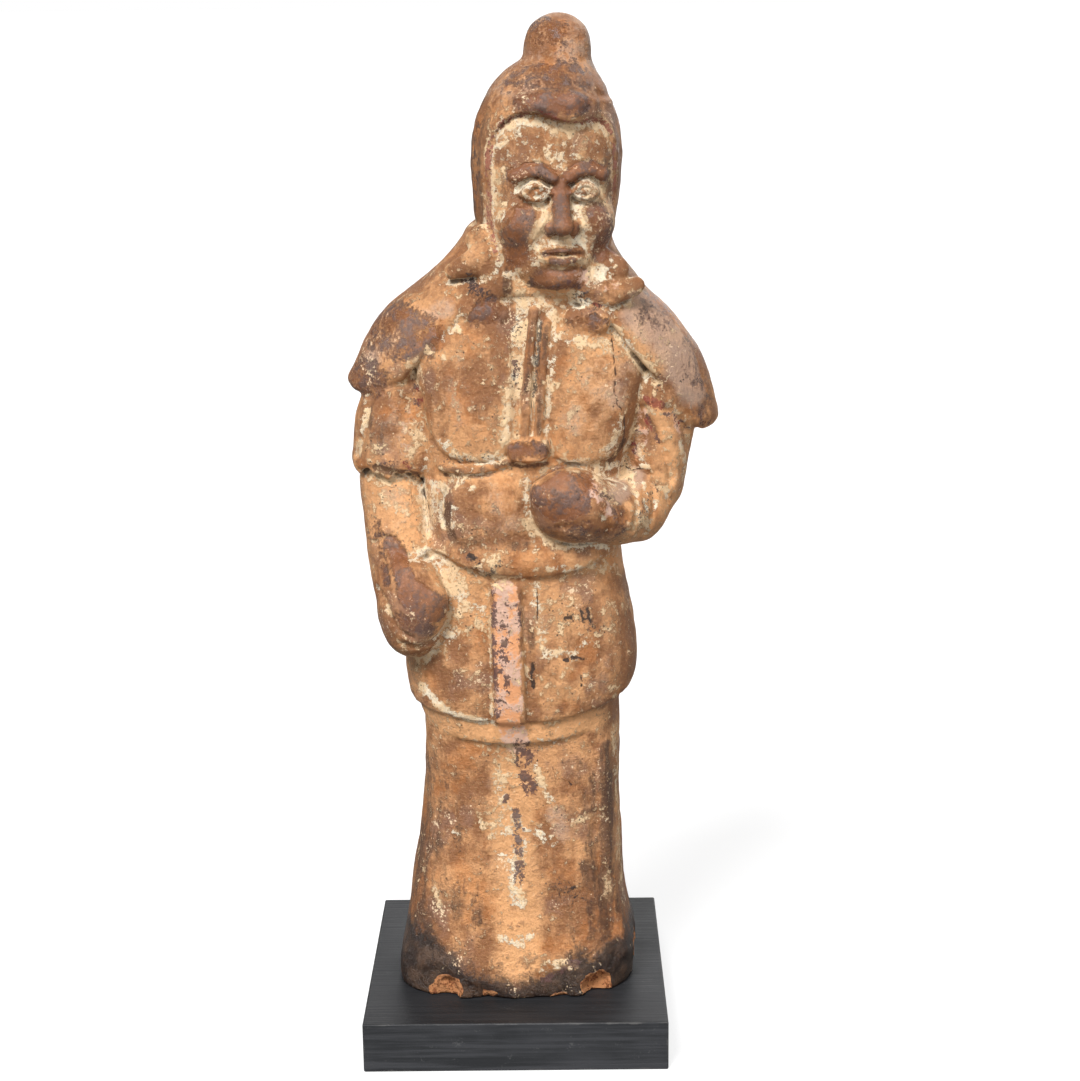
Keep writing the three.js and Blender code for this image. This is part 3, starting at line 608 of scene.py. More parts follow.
def lappets(p):
    q = flattened(p, LAPPET_PLANE, LAPPET_FLATNESS)
    solid = CLEAR
    for line in RIGHT_LAPPET + LEFT_LAPPET:
        for a, b in zip(line[:-1], line[1:]):
            solid = melt(solid, limb(q, a, b) / LAPPET_FLATNESS**0.5, 1.5)
    solid = scoop(solid, ellipsoid(p, *RIGHT_FOLD), 3)
    return scoop(solid, ellipsoid(p, *LEFT_FOLD), 1.5)


# The whole figure: each member, the levels that it reaches, and how softly it joins the rest

MEMBERS = [
    (robe, 0, ROBE_TOP, 1.0),
    (jacket, 130, JACKET_TOP, 1.0),
    (torso, 217, NECK_TOP, 1.2),
    (hanging_arm, 176, 342, 1.6),
    (raised_arm, 230, 328, 1.6),
    (cape, 280, CAPE_TOP, 1.0),
    (lappets, 335, 392, 1.0),
    (head, 348, CANON, 1.2),
]


def steps(*stretches):
    """Places along one axis: each stretch (start, end, step) cut evenly."""
    places = []
    for start, end, step in stretches:
        count = round((end - start) / step)
        places.extend(start + (end - start) * i / count for i in range(count))
    return np.array(places + [stretches[-1][1]])


FINE = 1.0
GRID = (
    steps((-84, -44, 1.3 * FINE), (-44, 62, 1.12 * FINE), (62, 108, 1.3 * FINE)),
    steps((-64, -18, 1.1 * FINE), (-18, 8, 1.6 * FINE), (8, 50, 2.2 * FINE)),
    steps((-3, 132, 1.7 * FINE), (132, 222, 1.4 * FINE), (222, 350, 1.15 * FINE),
          (350, 446, 0.95 * FINE), (446, 489, 1.5 * FINE)),
)


def clay_field():
    """The field on the grid, with the hand-worked unevenness of the surface."""
    xs, ys, zs = GRID
    field = np.full([len(axis) for axis in GRID], CLEAR, np.float32)
    for form, low, high, joint in MEMBERS:
        band = slice(*np.searchsorted(zs, (low - CLEAR, high + CLEAR)))
        p = (xs[:, None, None], ys[None, :, None], zs[None, None, band])
        field[:, :, band] = melt(field[:, :, band], form(p), joint)
    near = np.nonzero(np.abs(field) < 4)
    p = [axis[i] for axis, i in zip(GRID, near)]
    field[near] += unevenness(p)
    return np.maximum(field, -zs[None, None, :])


def unevenness(p):
    """Dents of the hand, wear and grit, in parts."""
    x, y, z = p
    hand = 0.7 * lumps(p, 34, 1) + 0.5 * lumps(p, 15, 2)
    grit = 0.24 * lumps(p, 6, 3) + 0.2 * lumps(p, 3, 4)
    fresh = 1 - smoothstep(chip_gap(p), 0, 2)
    rough = fresh * (0.9 * lumps(p, 5, 5) + 0.5 * lumps(p, 2.4, 6))
    in_face = smoothstep(z, 355, 362) * (1 - smoothstep(z, 432, 440)) * on_front(p)
    return (hand * (1 - 0.8 * in_face) + grit * (1 - 0.6 * in_face)) + rough


def net_surface(field):
    """A mesh of quads with one vertex in each grid cell that the surface passes through."""
    inside = field < 0
    shape = [n - 1 for n in field.shape]
    corners = [(a, b, c) for a in (0, 1) for b in (0, 1) for c in (0, 1)]

    def block(corner):
        return tuple(slice(o, o + n) for o, n in zip(corner, shape))

    count = sum(inside[block(corner)].astype(np.int8) for corner in corners)
    cells = np.stack(np.nonzero((count > 0) & (count < 8)), 1)
    sums = np.zeros((len(cells), 3))
    hits = np.zeros(len(cells))
    for axis in range(3):
        for corner in corners:
            if corner[axis]:
                continue
            a = cells + corner
            b = a.copy()
            b[:, axis] += 1
            fa, fb = field[tuple(a.T)], field[tuple(b.T)]
            crossed = (fa < 0) != (fb < 0)
            t = np.where(crossed, fa / np.where(crossed, fa - fb, 1), 0)
            for k in range(3):
                place = GRID[k][a[:, k]]
                if k == axis:
                    place = place + t * (GRID[k][b[:, k]] - place)
                sums[:, k] += np.where(crossed, place, 0)
            hits += crossed
    vertices = sums / hits[:, None]

    number = np.full(shape, -1, np.int32)
    number[tuple(cells.T)] = np.arange(len(cells))
    quads = []
    for axis in range(3):
        u, v = (axis + 1) % 3, (axis + 2) % 3
        low = [slice(1, -1)] * 3
        low[axis] = slice(0, -1)
        high = list(low)
        high[axis] = slice(1, None)
        changed = inside[tuple(low)] != inside[tuple(high)]
        edge = np.stack(np.nonzero(changed), 1)
        outward = inside[tuple(low)][tuple(edge.T)]
        edge = edge + [0 if k == axis else 1 for k in range(3)]
        ring = []
        for du, dv in ((1, 1), (0, 1), (0, 0), (1, 0)):
            cell = edge.copy()
            cell[:, u] -= du
            cell[:, v] -= dv
            ring.append(number[tuple(cell.T)])
        ring = np.stack(ring, 1)
        quads.append(np.where(outward[:, None], ring, ring[:, ::-1]))
    return vertices, np.concatenate(quads)


def new_object(name, vertices, faces):
    mesh = bpy.data.meshes.new(name)
    mesh.from_pydata(vertices, [], faces)
    mesh.validate()
    mesh.shade_smooth()
    obj = bpy.data.objects.new(name, mesh)
    bpy.context.collection.objects.link(obj)
    return obj


def thinned(obj, triangles):
    """The object with the flattest of its faces merged, down to about a number of triangles."""
    thin = obj.modifiers.new("thin", "DECIMATE")
    thin.ratio = min(triangles / (2 * len(obj.data.polygons)), 1)
    shape = obj.evaluated_get(bpy.context.evaluated_depsgraph_get())
    obj.data = bpy.data.meshes.new_from_object(shape)
    obj.modifiers.clear()
    return obj


def to_world(vertices):
    """Canon parts to metres, with the figure standing where the frame has it."""
    return np.array(vertices) * PART + [0, 0, FIGURE_LOW.z]


field = clay_field()
vertices, quads = net_surface(field)
guardian = thinned(new_object("guardian_clay", to_world(vertices), quads), CLAY_TRIANGLES)
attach(guardian, "root")
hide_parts("guardian_figure")

# Where the slip, the pigments, the wear, the stains and the painted shadows are on the front, as
# brush strokes (line, half width, strength), the lines in x and z

SLIP = [
    ([(8, 352), (6, 335), (5, 318), (1, 302), (0, 289)], 4.2, 0.62),
    ([(14.5, 343), (13, 325), (11.5, 305)], 2.2, 0.75),
    ([(21, 347), (22, 335), (20, 318), (17.5, 300), (17, 288)], 3.4, 0.6),
    ([(5, 356), (14, 354), (25, 356)], 3, 0.5),
    ([(32, 357), (39, 361), (45, 366)], 4.4, 0.6),
    ([(32, 351), (39, 352)], 3, 0.74),
    ([(-12, 362), (-4, 366), (-2, 374)], 2, 0.55),
    ([(-13, 348), (-8, 346)], 2, 0.6),
    ([(-21, 345), (-22, 340)], 2, 0.5),
    ([(27, 336), (38, 333.5), (48, 333), (47, 329)], 3.4, 0.52),
    ([(-18, 347), (-30, 336), (-40, 327), (-47, 322)], 2.6, 0.62),
    ([(50, 341), (60, 329), (69, 318), (65, 310)], 1.9, 0.66),
    ([(-31, 286), (-25, 280), (-16, 278), (-6, 278), (-1, 283), (-2, 292)], 3.2, 0.62),
    ([(-34, 329), (-27, 326)], 2.6, 0.5),
    ([(54, 293), (50, 284), (47, 279)], 4, 0.52),
    ([(26, 276), (40, 273), (58, 270)], 3, 0.6),
    ([(36, 272), (42, 270), (50, 265), (58, 264)], 2.4, 0.52),
    ([(63, 284), (65, 277), (66, 270)], 2.4, 0.56),
    ([(84, 281), (86.5, 270), (86.5, 259)], 1.3, 0.6),
    ([(76, 300), (82, 296)], 2, 0.54),
    ([(67, 300), (71, 296)], 1.6, 0.5),
    ([(65, 249), (68, 243)], 2.2, 0.5),
    ([(44, 254), (46, 250)], 1.5, 0.66),
    ([(-36, 264), (-36, 256), (-38, 248), (-38.5, 242)], 3, 0.56),
    ([(-29, 266), (-24, 267), (-18, 265)], 3, 0.45),
    ([(-26, 256), (-27, 245)], 1.8, 0.55),
    ([(9.5, 266), (9, 252), (11, 240), (12, 234)], 1.8, 0.58),
    ([(66, 262), (67, 250)], 1.4, 0.6),
    ([(-48, 229.5), (-42, 231), (-34, 230.5)], 2.6, 0.74),
    ([(-31, 226), (-25, 217), (-24, 209)], 4, 0.6),
    ([(-34, 208), (-30, 204)], 1.6, 0.7),
    ([(-15, 222), (-8, 222)], 2, 0.5),
    ([(-66, 235), (-59, 239)], 0.8, 0.66),
    ([(-58, 206), (-56, 199), (-51, 194)], 0.9, 0.6),
    ([(-45, 189), (-36, 192.5), (-28, 199)], 0.7, 0.6),
    ([(-30, 199), (-20, 205), (-14, 205), (-15, 196)], 2.6, 0.52),
    ([(-26, 192), (-36, 185)], 4, 0.55),
    ([(-44, 162), (-34, 153), (-22, 148), (-10.5, 146.5)], 2.2, 0.8),
    ([(13, 216), (12.5, 206), (15, 196), (16.5, 182), (30, 181), (38, 187)], 2.8, 0.56),
    ([(20, 225), (36, 224), (50, 221)], 2.8, 0.5),
    ([(-14, 226), (-6, 231), (-7, 222)], 3.4, 0.5),
    ([(36, 168), (39, 163)], 2.4, 0.45),
    ([(-7, 118), (-7, 109), (-4, 99)], 3.2, 0.55),
    ([(10, 121), (14, 112), (19, 103)], 3, 0.55),
    ([(-8, 86), (1, 88), (10, 86), (18, 80)], 3.8, 0.55),
    ([(2, 94), (3, 78), (1, 66), (0, 55), (2, 49)], 4, 0.62),
    ([(-8, 74), (-2, 72)], 3.2, 0.5),
    ([(-9, 58), (-3, 56)], 2.4, 0.45),
    ([(-6, 31), (2, 29), (8, 33)], 3, 0.55),
    ([(14, 136), (20, 134)], 2, 0.5),
    ([(-30, 86), (-28, 85)], 2, 0.5),
    ([(-41, 56), (-38, 46)], 1.8, 0.5),
    ([(30, 90), (38, 93), (46, 90)], 1.6, 0.5),
    ([(51, 138), (53, 105), (54, 70), (57, 40)], 2.6, 0.42),
    ([(14, 13), (23, 18), (29, 15)], 3.2, 0.46),
    ([(24, 18), (25.5, 18.6)], 1.3, 1.3),
    ([(16, 18.5), (17, 19)], 0.9, 1.2),
    ([(20, 15.6), (21, 15)], 0.9, 1.2),
    ([(27, 15), (28, 14.4)], 0.9, 1.2),
    ([(14, 12.6), (15, 12)], 0.7, 1.1),
    ([(-12, 92), (16, 84)], 8, 0.36),
    ([(-4, 122), (12, 112)], 7, 0.34),
    ([(-10.5, 146.5), (-9.6, 152), (-9.8, 180), (-9.4, 200), (-9.6, 214)], 0.9, 0.56),
    ([(-46, 292), (-44, 284), (-47, 278)], 2, 0.5),
    ([(-62, 256), (-52, 250)], 4, 0.38),
    ([(0, 408), (4, 420)], 5, 0.3),
]
PEACH = [
    ([(0, 112), (0, 80), (2, 46), (1, 20)], 13, 0.85),
    ([(-50, 262), (-50, 240)], 9, 0.78),
    ([(-16, 268), (10, 270), (34, 271)], 6, 0.6),
    ([(-26, 222), (-16, 214), (-12, 200)], 7, 0.7),
    ([(28, 205), (32, 190), (30, 168)], 10, 0.55),
    ([(-40, 146), (-20, 140), (10, 139), (40, 144)], 6.5, 0.95),
    ([(70, 300), (76, 288), (79, 274)], 4, 0.85),
    ([(74, 270), (80, 262), (76, 250)], 6, 0.6),
    ([(57, 256), (59, 254)], 1.5, 1.0),
    ([(42, 325), (40, 300), (36, 284)], 13, 0.62),
    ([(-32, 214), (-30, 180)], 8, 0.45),
    ([(-24, 258), (4, 258)], 8, 0.45),
    ([(62, 336), (74, 322)], 7, 0.6),
    ([(-28, 344), (-42, 334)], 5, 0.35),
    ([(24, 356), (6, 352)], 7, 0.6),
    ([(-20, 382), (-14, 372)], 6, 0.6),
    ([(-30, 72), (-26, 50)], 6, 0.4),
    ([(34, 84), (36, 56)], 8, 0.45),
    ([(-38, 8), (-33, 5)], 6, 0.3),
]
# Dark stains and runs, with painted shadows under rims, cords, the buckle and the chin and in creases
STAINS_AND_SHADOWS = [
    ([(-42, 122), (-44, 90), (-48, 55), (-52, 30)], 5, 0.66),
    ([(-26, 118), (-28, 90), (-30, 60)], 4, 0.52),
    ([(-28, 62), (-30, 42)], 4, 0.6),
    ([(46, 128), (47, 100), (46, 72), (44, 45)], 4.5, 0.75),
    ([(37, 66), (39, 48), (41, 34)], 5, 0.72),
    ([(-18, 58), (-19, 40)], 4, 0.42),
    ([(2, 277.5), (-5, 275), (-13, 273.3), (-22, 272.5), (-32, 272.8)], 1.6, 0.55),
    ([(-66, 298), (-60, 284)], 8, 0.5),
    ([(22, 34), (30, 26)], 6, 0.4),
    ([(11, 212), (10, 190), (10, 165), (12, 150)], 3, 0.4),
    ([(-28, 156), (-14, 152)], 4, 0.4),
    ([(-34, 172), (-26, 168)], 9, 0.25),
    ([(-22, 236), (-16, 238)], 5, 0.6),
    ([(0, 236), (14, 236), (28, 235)], 3, 0.6),
    ([(-8, 254), (-2, 250)], 10, 0.2),
    ([(13.5, 344), (11.5, 330), (9.5, 310), (8.3, 290)], 1.7, 0.58),
    ([(19.5, 340), (17.7, 325), (16, 305), (14.8, 290)], 1.7, 0.58),
    ([(-8, 300), (-6, 292)], 8, 0.35),
    ([(86, 302), (94, 298)], 7, 0.6),
    ([(56, 284), (50, 275), (46, 272)], 1.6, 0.95),
    ([(-64, 271.8), (-57, 270), (-50, 268.6), (-45, 267.5)], 2, 1.0),
    ([(2, 275.4), (10, 274), (18, 275.4)], 1.5, 0.9),
    ([(-30, 269.6), (-20, 269.4), (-8, 270.8)], 1.2, 0.8),
    ([(3, 372), (1, 362), (2, 352)], 2.4, 0.8),
    ([(12, 361), (24, 360), (31, 361.5)], 2, 0.8),
    ([(-29, 256), (-30.5, 248), (-27, 240)], 2.6, 0.8),
    ([(28, 18), (44, 30), (52, 42)], 7, 0.6),
    ([(-44, 30), (-54, 44)], 7, 0.6),
    ([(-14, 120), (-14, 100), (-16, 78)], 3, 0.35),
    ([(30, 122), (31, 108)], 5, 0.45),
    ([(-38, 122), (-40, 80), (-43, 40)], 8, 0.5),
    ([(38, 116), (41, 80), (44, 46)], 8, 0.55),
    ([(22, 56), (27, 32)], 5, 0.5),
]
PINK = [
    ([(-2, 212), (-1.5, 180), (-1.2, 150)], 6.4, 0.9),
    ([(-1, 150), (0, 142), (2, 135)], 6.4, 0.8),
    ([(41, 266), (46, 257), (48, 250)], 3.4, 0.5),
    ([(-38, 266), (-34, 262)], 3.4, 0.55),
    ([(66, 296), (65, 284), (61, 272)], 4, 0.5),
    ([(79, 296), (85, 286)], 3, 0.5),
    ([(-46, 300), (-50, 280)], 6, 0.36),
    ([(36, 364), (50, 360)], 5, 0.5),
]
PURPLE = [
    ([(-8, 214), (-7.6, 196), (-7.4, 180), (-7, 165), (-6.6, 150)], 1.8, 0.62),
    ([(-2, 205), (-3, 188), (-3, 172), (-2, 156)], 3.6, 0.44),
    ([(4, 206), (4, 190)], 2, 0.5),
    ([(4, 133), (8, 128), (5, 122)], 4.6, 0.62),
    ([(7, 116), (9, 109)], 4.2, 0.72),
    ([(-3, 105), (-4, 101)], 1.8, 0.66),
    ([(2, 97), (2, 84), (3, 71), (2, 60)], 2.8, 0.6),
    ([(14, 9), (22, 14), (31, 18)], 3, 0.56),
    ([(67.5, 294), (70.2, 289), (73.7, 280.5)], 1.7, 0.56),
    ([(77.8, 296.5), (83, 290.3), (89, 283)], 2.8, 0.5),
    ([(63.5, 286), (61, 279), (58.5, 273)], 2.4, 0.5),
    ([(66, 277), (67, 274)], 1.4, 0.6),
    ([(41, 266), (48, 260)], 1.4, 0.5),
    ([(-45, 310), (-43, 303)], 3, 0.55),
    ([(30, 362), (38, 358)], 2.6, 0.5),
    ([(14, 336), (13.5, 327)], 1.0, 0.5),
    ([(4, 326), (5, 318)], 2, 0.5),
    ([(-18, 362), (-10, 356)], 3, 0.55),
    ([(-60, 274), (-50, 275)], 2.4, 0.45),
]
RED = [
    ([(68, 303), (74, 300)], 2.8, 0.74),
    ([(67, 293), (70, 288)], 1.3, 0.6),
    ([(80, 293), (86, 287)], 1.8, 0.46),
    ([(62, 283), (59.5, 275)], 1.8, 0.46),
    ([(42, 351), (45, 350)], 1.1, 0.8),
    ([(-43, 308), (-42, 304)], 2.2, 0.6),
    ([(-52, 275), (-48, 272)], 1.8, 0.5),
]
ASH = [
    ([(64, 346), (82, 328), (92, 306)], 9, 0.9),
    ([(-28, 350), (-46, 340), (-66, 322)], 5, 0.6),
    ([(20, 96), (24, 84)], 5, 0.5),
    ([(53, 262), (62, 265)], 5, 0.95),
    ([(56, 318), (52, 306)], 6, 0.5),
    ([(-10, 268), (0, 250)], 8, 0.4),
    ([(46, 318), (36, 296)], 12, 0.4),
    ([(-24, 320), (-20, 300)], 10, 0.35),
    ([(-58, 300), (-58, 284)], 8, 0.4),
    ([(-56, 258), (-54, 248)], 7, 0.4),
]
PEPPER = [
    ([(5.5, 344), (5, 328), (4, 312)], 2.2, 0.42),
    ([(16.6, 342), (14.6, 322), (13, 308)], 1.1, 0.75),
    ([(-16, 365), (-15, 358), (-9, 356)], 3, 0.6),
    ([(36, 355), (42, 350)], 4, 0.5),
    ([(-19, 231), (-16, 230)], 1.6, 0.9),
    ([(-4, 229), (-8, 224), (-10, 222)], 2.2, 0.6),
    ([(-30, 276), (-10, 280)], 3, 0.4),
    ([(30, 199), (36, 203), (40, 194)], 6, 0.35),
    ([(24, 56), (32, 50)], 7, 0.4),
    ([(-30, 88), (-28, 80)], 4, 0.35),
    ([(70, 258), (64, 250)], 4, 0.45),
]
INK = [
    ([(27, 178.5), (31, 179.3), (36, 178.2)], 0.9),
    ([(38.5, 206), (38, 199), (41, 193)], 0.8),
    ([(26, 199), (30, 199.5)], 0.8),
    ([(34, 203), (36, 196)], 0.5),
    ([(11, 177), (10, 170), (11, 165)], 0.9),
    ([(34.5, 171), (34.5, 165)], 0.3),
    ([(27, 54), (29, 56), (31.5, 57)], 0.7),
    ([(29, 50), (31, 51)], 0.5),
    ([(10.5, 125), (13, 123.5)], 0.8),
    ([(-19, 232), (-17, 231)], 1.0),
    ([(-16, 226), (-13, 229)], 0.4),
    ([(84, 311), (85, 312)], 0.5),
    ([(71, 310), (74, 310.5)], 0.6),
]
CRACKS = [
    [(50, 335), (51, 328), (52, 318), (51.5, 309), (53, 303), (56, 298), (56.5, 290), (55, 281)],
    [(-44, 267), (-42, 263), (-41.5, 257), (-39, 251)],
    [(19, 121), (24, 115), (30, 110)],
    [(53, 271), (60, 268), (66, 269)],
    [(13, 214), (13.5, 205), (13, 198)],
]

# Worn and fire-darkened high places: strokes on the hands, strokes on the face in its own frame,
# mirrored, and all round the figure as (centre, radii, strength)
HANDLED = [
    ([(17, 262), (26, 268), (35, 266)], 5.5, 1.35),
    ([(22, 257), (33, 260)], 6, 1.2),
    ([(24, 247), (40, 248)], 5, 0.5),
    ([(20, 245), (36, 243), (52, 244)], 4, 0.5),
    ([(49, 258), (54, 250)], 4, 0.45),
    ([(-57, 235), (-52, 226), (-46, 217)], 4.5, 0.9),
    ([(-47, 215), (-37, 207)], 6.5, 1.3),
    ([(-52, 202), (-40, 198)], 5, 0.7),
    ([(-62, 229), (-60, 219)], 2.6, 0.6),
    ([(2.5, 282.6), (16.5, 282.6)], 4, 0.7),
]
HANDLED_FACE = [
    ([(0, BROW - 5), (0, NOSE_BASE + 4)], 4.4, 1.3),
    ([(0, NOSE_BASE + 3.5), (5, NOSE_BASE + 3)], 3.4, 1.3),
    (BROW_LINE, 3.4, 1.3),
    ([(17, NOSE_BASE + 11), (22, NOSE_BASE), (20, MOUTH)], 6, 0.8),
    ([(0, CHIN + 6), (9, CHIN + 7)], 5.5, 0.8),
    ([(0, MOUTH + 2), (8, MOUTH + 1)], 1.8, 0.7),
    ([(0, MOUTH - 3), (5, MOUTH - 2.4)], 1.8, 0.7),
    ([(13, BROW + 16), (18, BROW + 13)], 5, 0.4),
    ([(24, BROW + 10), (25, BROW - 12)], 3, 0.5),
]
WORN = [
    ((18, -14, 476), (15, 18, 9), 0.55),
    ((22, -28, 456), (30, 18, 9), 0.5),
    ((25, -39, 445), (24, 9, 7), 0.85),
    ((-14, -8, 420), (7, 30, 26), 0.3),
    ((-50, -20, 336), (24, 34, 15), 0.6),
    ((-68, -14, 314), (14, 26, 12), 0.64),
    ((76, -14, 346), (18, 30, 12), 0.36),
    ((92, -10, 322), (12, 26, 20), 0.34),
    ((98, -16, 294), (8, 20, 10), 0.5),
    ((-8, -40, 350), (10, 10, 8), 0.75),
    ((40, -40, 343), (13, 10, 5), 0.65),
    ((-62, -26, 236), (8, 14, 12), 0.5),
    ((-8, -50, 252), (13, 8, 11), 0.2),
    ((-10, -38, 346), (10, 9, 5), 0.85),
    ((42, -38, 343), (6, 9, 5), 0.85),
]
SOOT_EDGE = [
    (-62, 27), (-45, 23), (-36, 17), (-25, 9), (-12, 3), (2, -1), (12, 4), (22, 9), (34, 12),
    (46, 17), (62, 24),
]


def brushed(p, strokes):
    """How strongly each place on the front is covered by brush strokes."""
    x, y, z = p
    cover = np.zeros(x.shape)
    for line, half_width, strength in strokes:
        reach = to_line(x, z, line)
        cover = np.maximum(cover, strength * (1 - smoothstep(reach, half_width * 0.4, half_width * 1.7)))
    return cover * on_front(p)


def gap_to(p, strokes):
    """Distance in parts to the edge of the nearest fine stroke (line, half width) of the front."""
    x, y, z = p
    gap = np.minimum.reduce([to_line(x, z, line) - half_width for line, half_width in strokes])
    return np.minimum(gap + 6 * (1 - on_front(p)), 6)


def on_skin(p):
    """True on the face, inside the hood's opening."""
    u, w, z = head_frame(p)
    return (to_outline(u, z, OPENING) < -1) * (w < FACE_FRONT)


def worn(p):
    """How strongly each place is worn by handling."""
    u, w, z = head_frame(p)
    on_face = on_skin(p) * smoothstep(z, 356, 360)
    cover = brushed((np.abs(u), w, z), HANDLED_FACE) * on_face
    cover = np.maximum(cover, brushed(p, HANDLED))
    for centre, radii, strength in WORN:
        cover = np.maximum(cover, strength * (1 - smoothstep(ellipsoid(p, centre, radii), -5, 4)))
    return cover


def read_field(p):
    """The field at any places, read between the corners of its grid."""
    index, share = [], []
    for axis, place in zip(GRID, p):
        i = np.clip(np.searchsorted(axis, place) - 1, 0, len(axis) - 2)
        index.append(i)
        share.append(np.clip((place - axis[i]) / (axis[i + 1] - axis[i]), 0, 1))
    total = 0
    for corner in range(8):
        bits = [(corner >> k) & 1 for k in range(3)]
        weight = 1
        for bit, t in zip(bits, share):
            weight = weight * (t if bit else 1 - t)
        total = total + field[tuple(i + bit for i, bit in zip(index, bits))] * weight
    return total


def outward(p):
    """The direction out of the clay at places on its surface."""
    slopes = []
    for axis in range(3):
        ahead, behind = [list(p), list(p)]
        ahead[axis] = p[axis] + 1
        behind[axis] = p[axis] - 1
        slopes.append(read_field(ahead) - read_field(behind))
    slopes = np.array(slopes)
    return slopes / np.maximum(np.sqrt((slopes**2).sum(0)), 1e-6)


def hood_rim(p):
    """Distance to the edge of the hood's opening, a large number away from the face."""
    u, w, z = head_frame(p)
    return np.abs(to_outline(u, z, OPENING)) + 9 * (w > FACE_FRONT)


def slip_left(p, hollow, recess, rim, skin):
    """How much cream slip is left: most in the hollows and round the face, least on the hood, the
    soot and the cords."""
    x, y, z = p
    slip = 0.08 + 0.12 * smoothstep(z, 100, 160)
    slip = slip + 0.7 * np.clip(hollow, 0, 0.6) + 0.25 * np.clip(recess, 0, 1)
    slip = np.maximum(slip, brushed(p, SLIP))
    in_opening = (1 - smoothstep(rim, 1, 4)) * smoothstep(z, 362, 370)
    slip = np.maximum(slip, 0.5 * in_opening)
    on_hood = smoothstep(z, 380, 400) * smoothstep(rim, 3, 6)
    slip = slip * (1 - 0.75 * on_hood * (1 - skin))
    slip = slip + skin * (0.27 - 0.32 * np.clip(hollow, 0, 0.6)) * smoothstep(z, 358, 366)
    slip = slip - 0.34 * (1 - smoothstep(z - along_keys(SOOT_EDGE, x)[0], -4, 12))
    to_cords = np.minimum.reduce([to_line(x, z, line) for line in CORDS])
    slip = slip - 0.36 * (1 - smoothstep(to_cords, 1.6, 2.6)) * on_front(p)
    return slip - 0.6 * worn(p)


def surface_marks(p):
    """All that the clay's material reads at a place of the surface, by name."""
    x, y, z = p
    way = outward(p)
    hollow = 1 - read_field(p + way * 2.5) / 2.5
    recess = 1 - read_field(p + way * 7) / 7
    unseen = 0.25 * (1 - on_front(p))
    rim = hood_rim(p)
    skin = on_skin(p)
    hood_grime = smoothstep(z, 375, 395) * (0.24 + 0.2 * smoothstep(x, 0, -12))
    red_rim = 0.56 * (1 - smoothstep(rim, 1, 2.4)) * smoothstep(z, 366, 376)
    return {
        "slip": slip_left(p, hollow, recess, rim, skin),
        "peach": brushed(p, PEACH) + unseen + 0.45 * skin,
        "stain_and_shadow": brushed(p, STAINS_AND_SHADOWS) + unseen + hood_grime * (1 - skin),
        "worn": worn(p),
        "soot": 1 - smoothstep(z - along_keys(SOOT_EDGE, x)[0], -6, 22),
        "fresh": 1 - smoothstep(chip_gap(p), -0.2, 1.6),
        "pink": brushed(p, PINK),
        "purple": brushed(p, PURPLE),
        "red": np.maximum(brushed(p, RED), red_rim),
        "hollow": hollow,
        "pepper": brushed(p, PEPPER),
        "ash": brushed(p, ASH) + 0.45 * smoothstep(z, 436, 452),
        "ink_gap": gap_to(p, INK),
        "crack_gap": gap_to(p, [(line, 0) for line in CRACKS]),
    }


def mark_surface(obj):
    """Stores the marks at the vertices of the clay."""
    places = np.empty(len(obj.data.vertices) * 3)
    obj.data.vertices.foreach_get("co", places)
    p = ((places.reshape(-1, 3) - [0, 0, FIGURE_LOW.z]) / PART).T
    for name, values in surface_marks(p).items():
        layer = obj.data.attributes.new(name, "FLOAT", "POINT")
        layer.data.foreach_set("value", values.astype(np.float32))


# Materials

CLAY_LIGHTNESS = 0.92


def paint(red, green, blue):
    """A colour given as it looks on a screen, 0 to 255, as a surface colour."""
    return (*((c / 255) ** 2.2 * CLAY_LIGHTNESS for c in (red, green, blue)), 1)


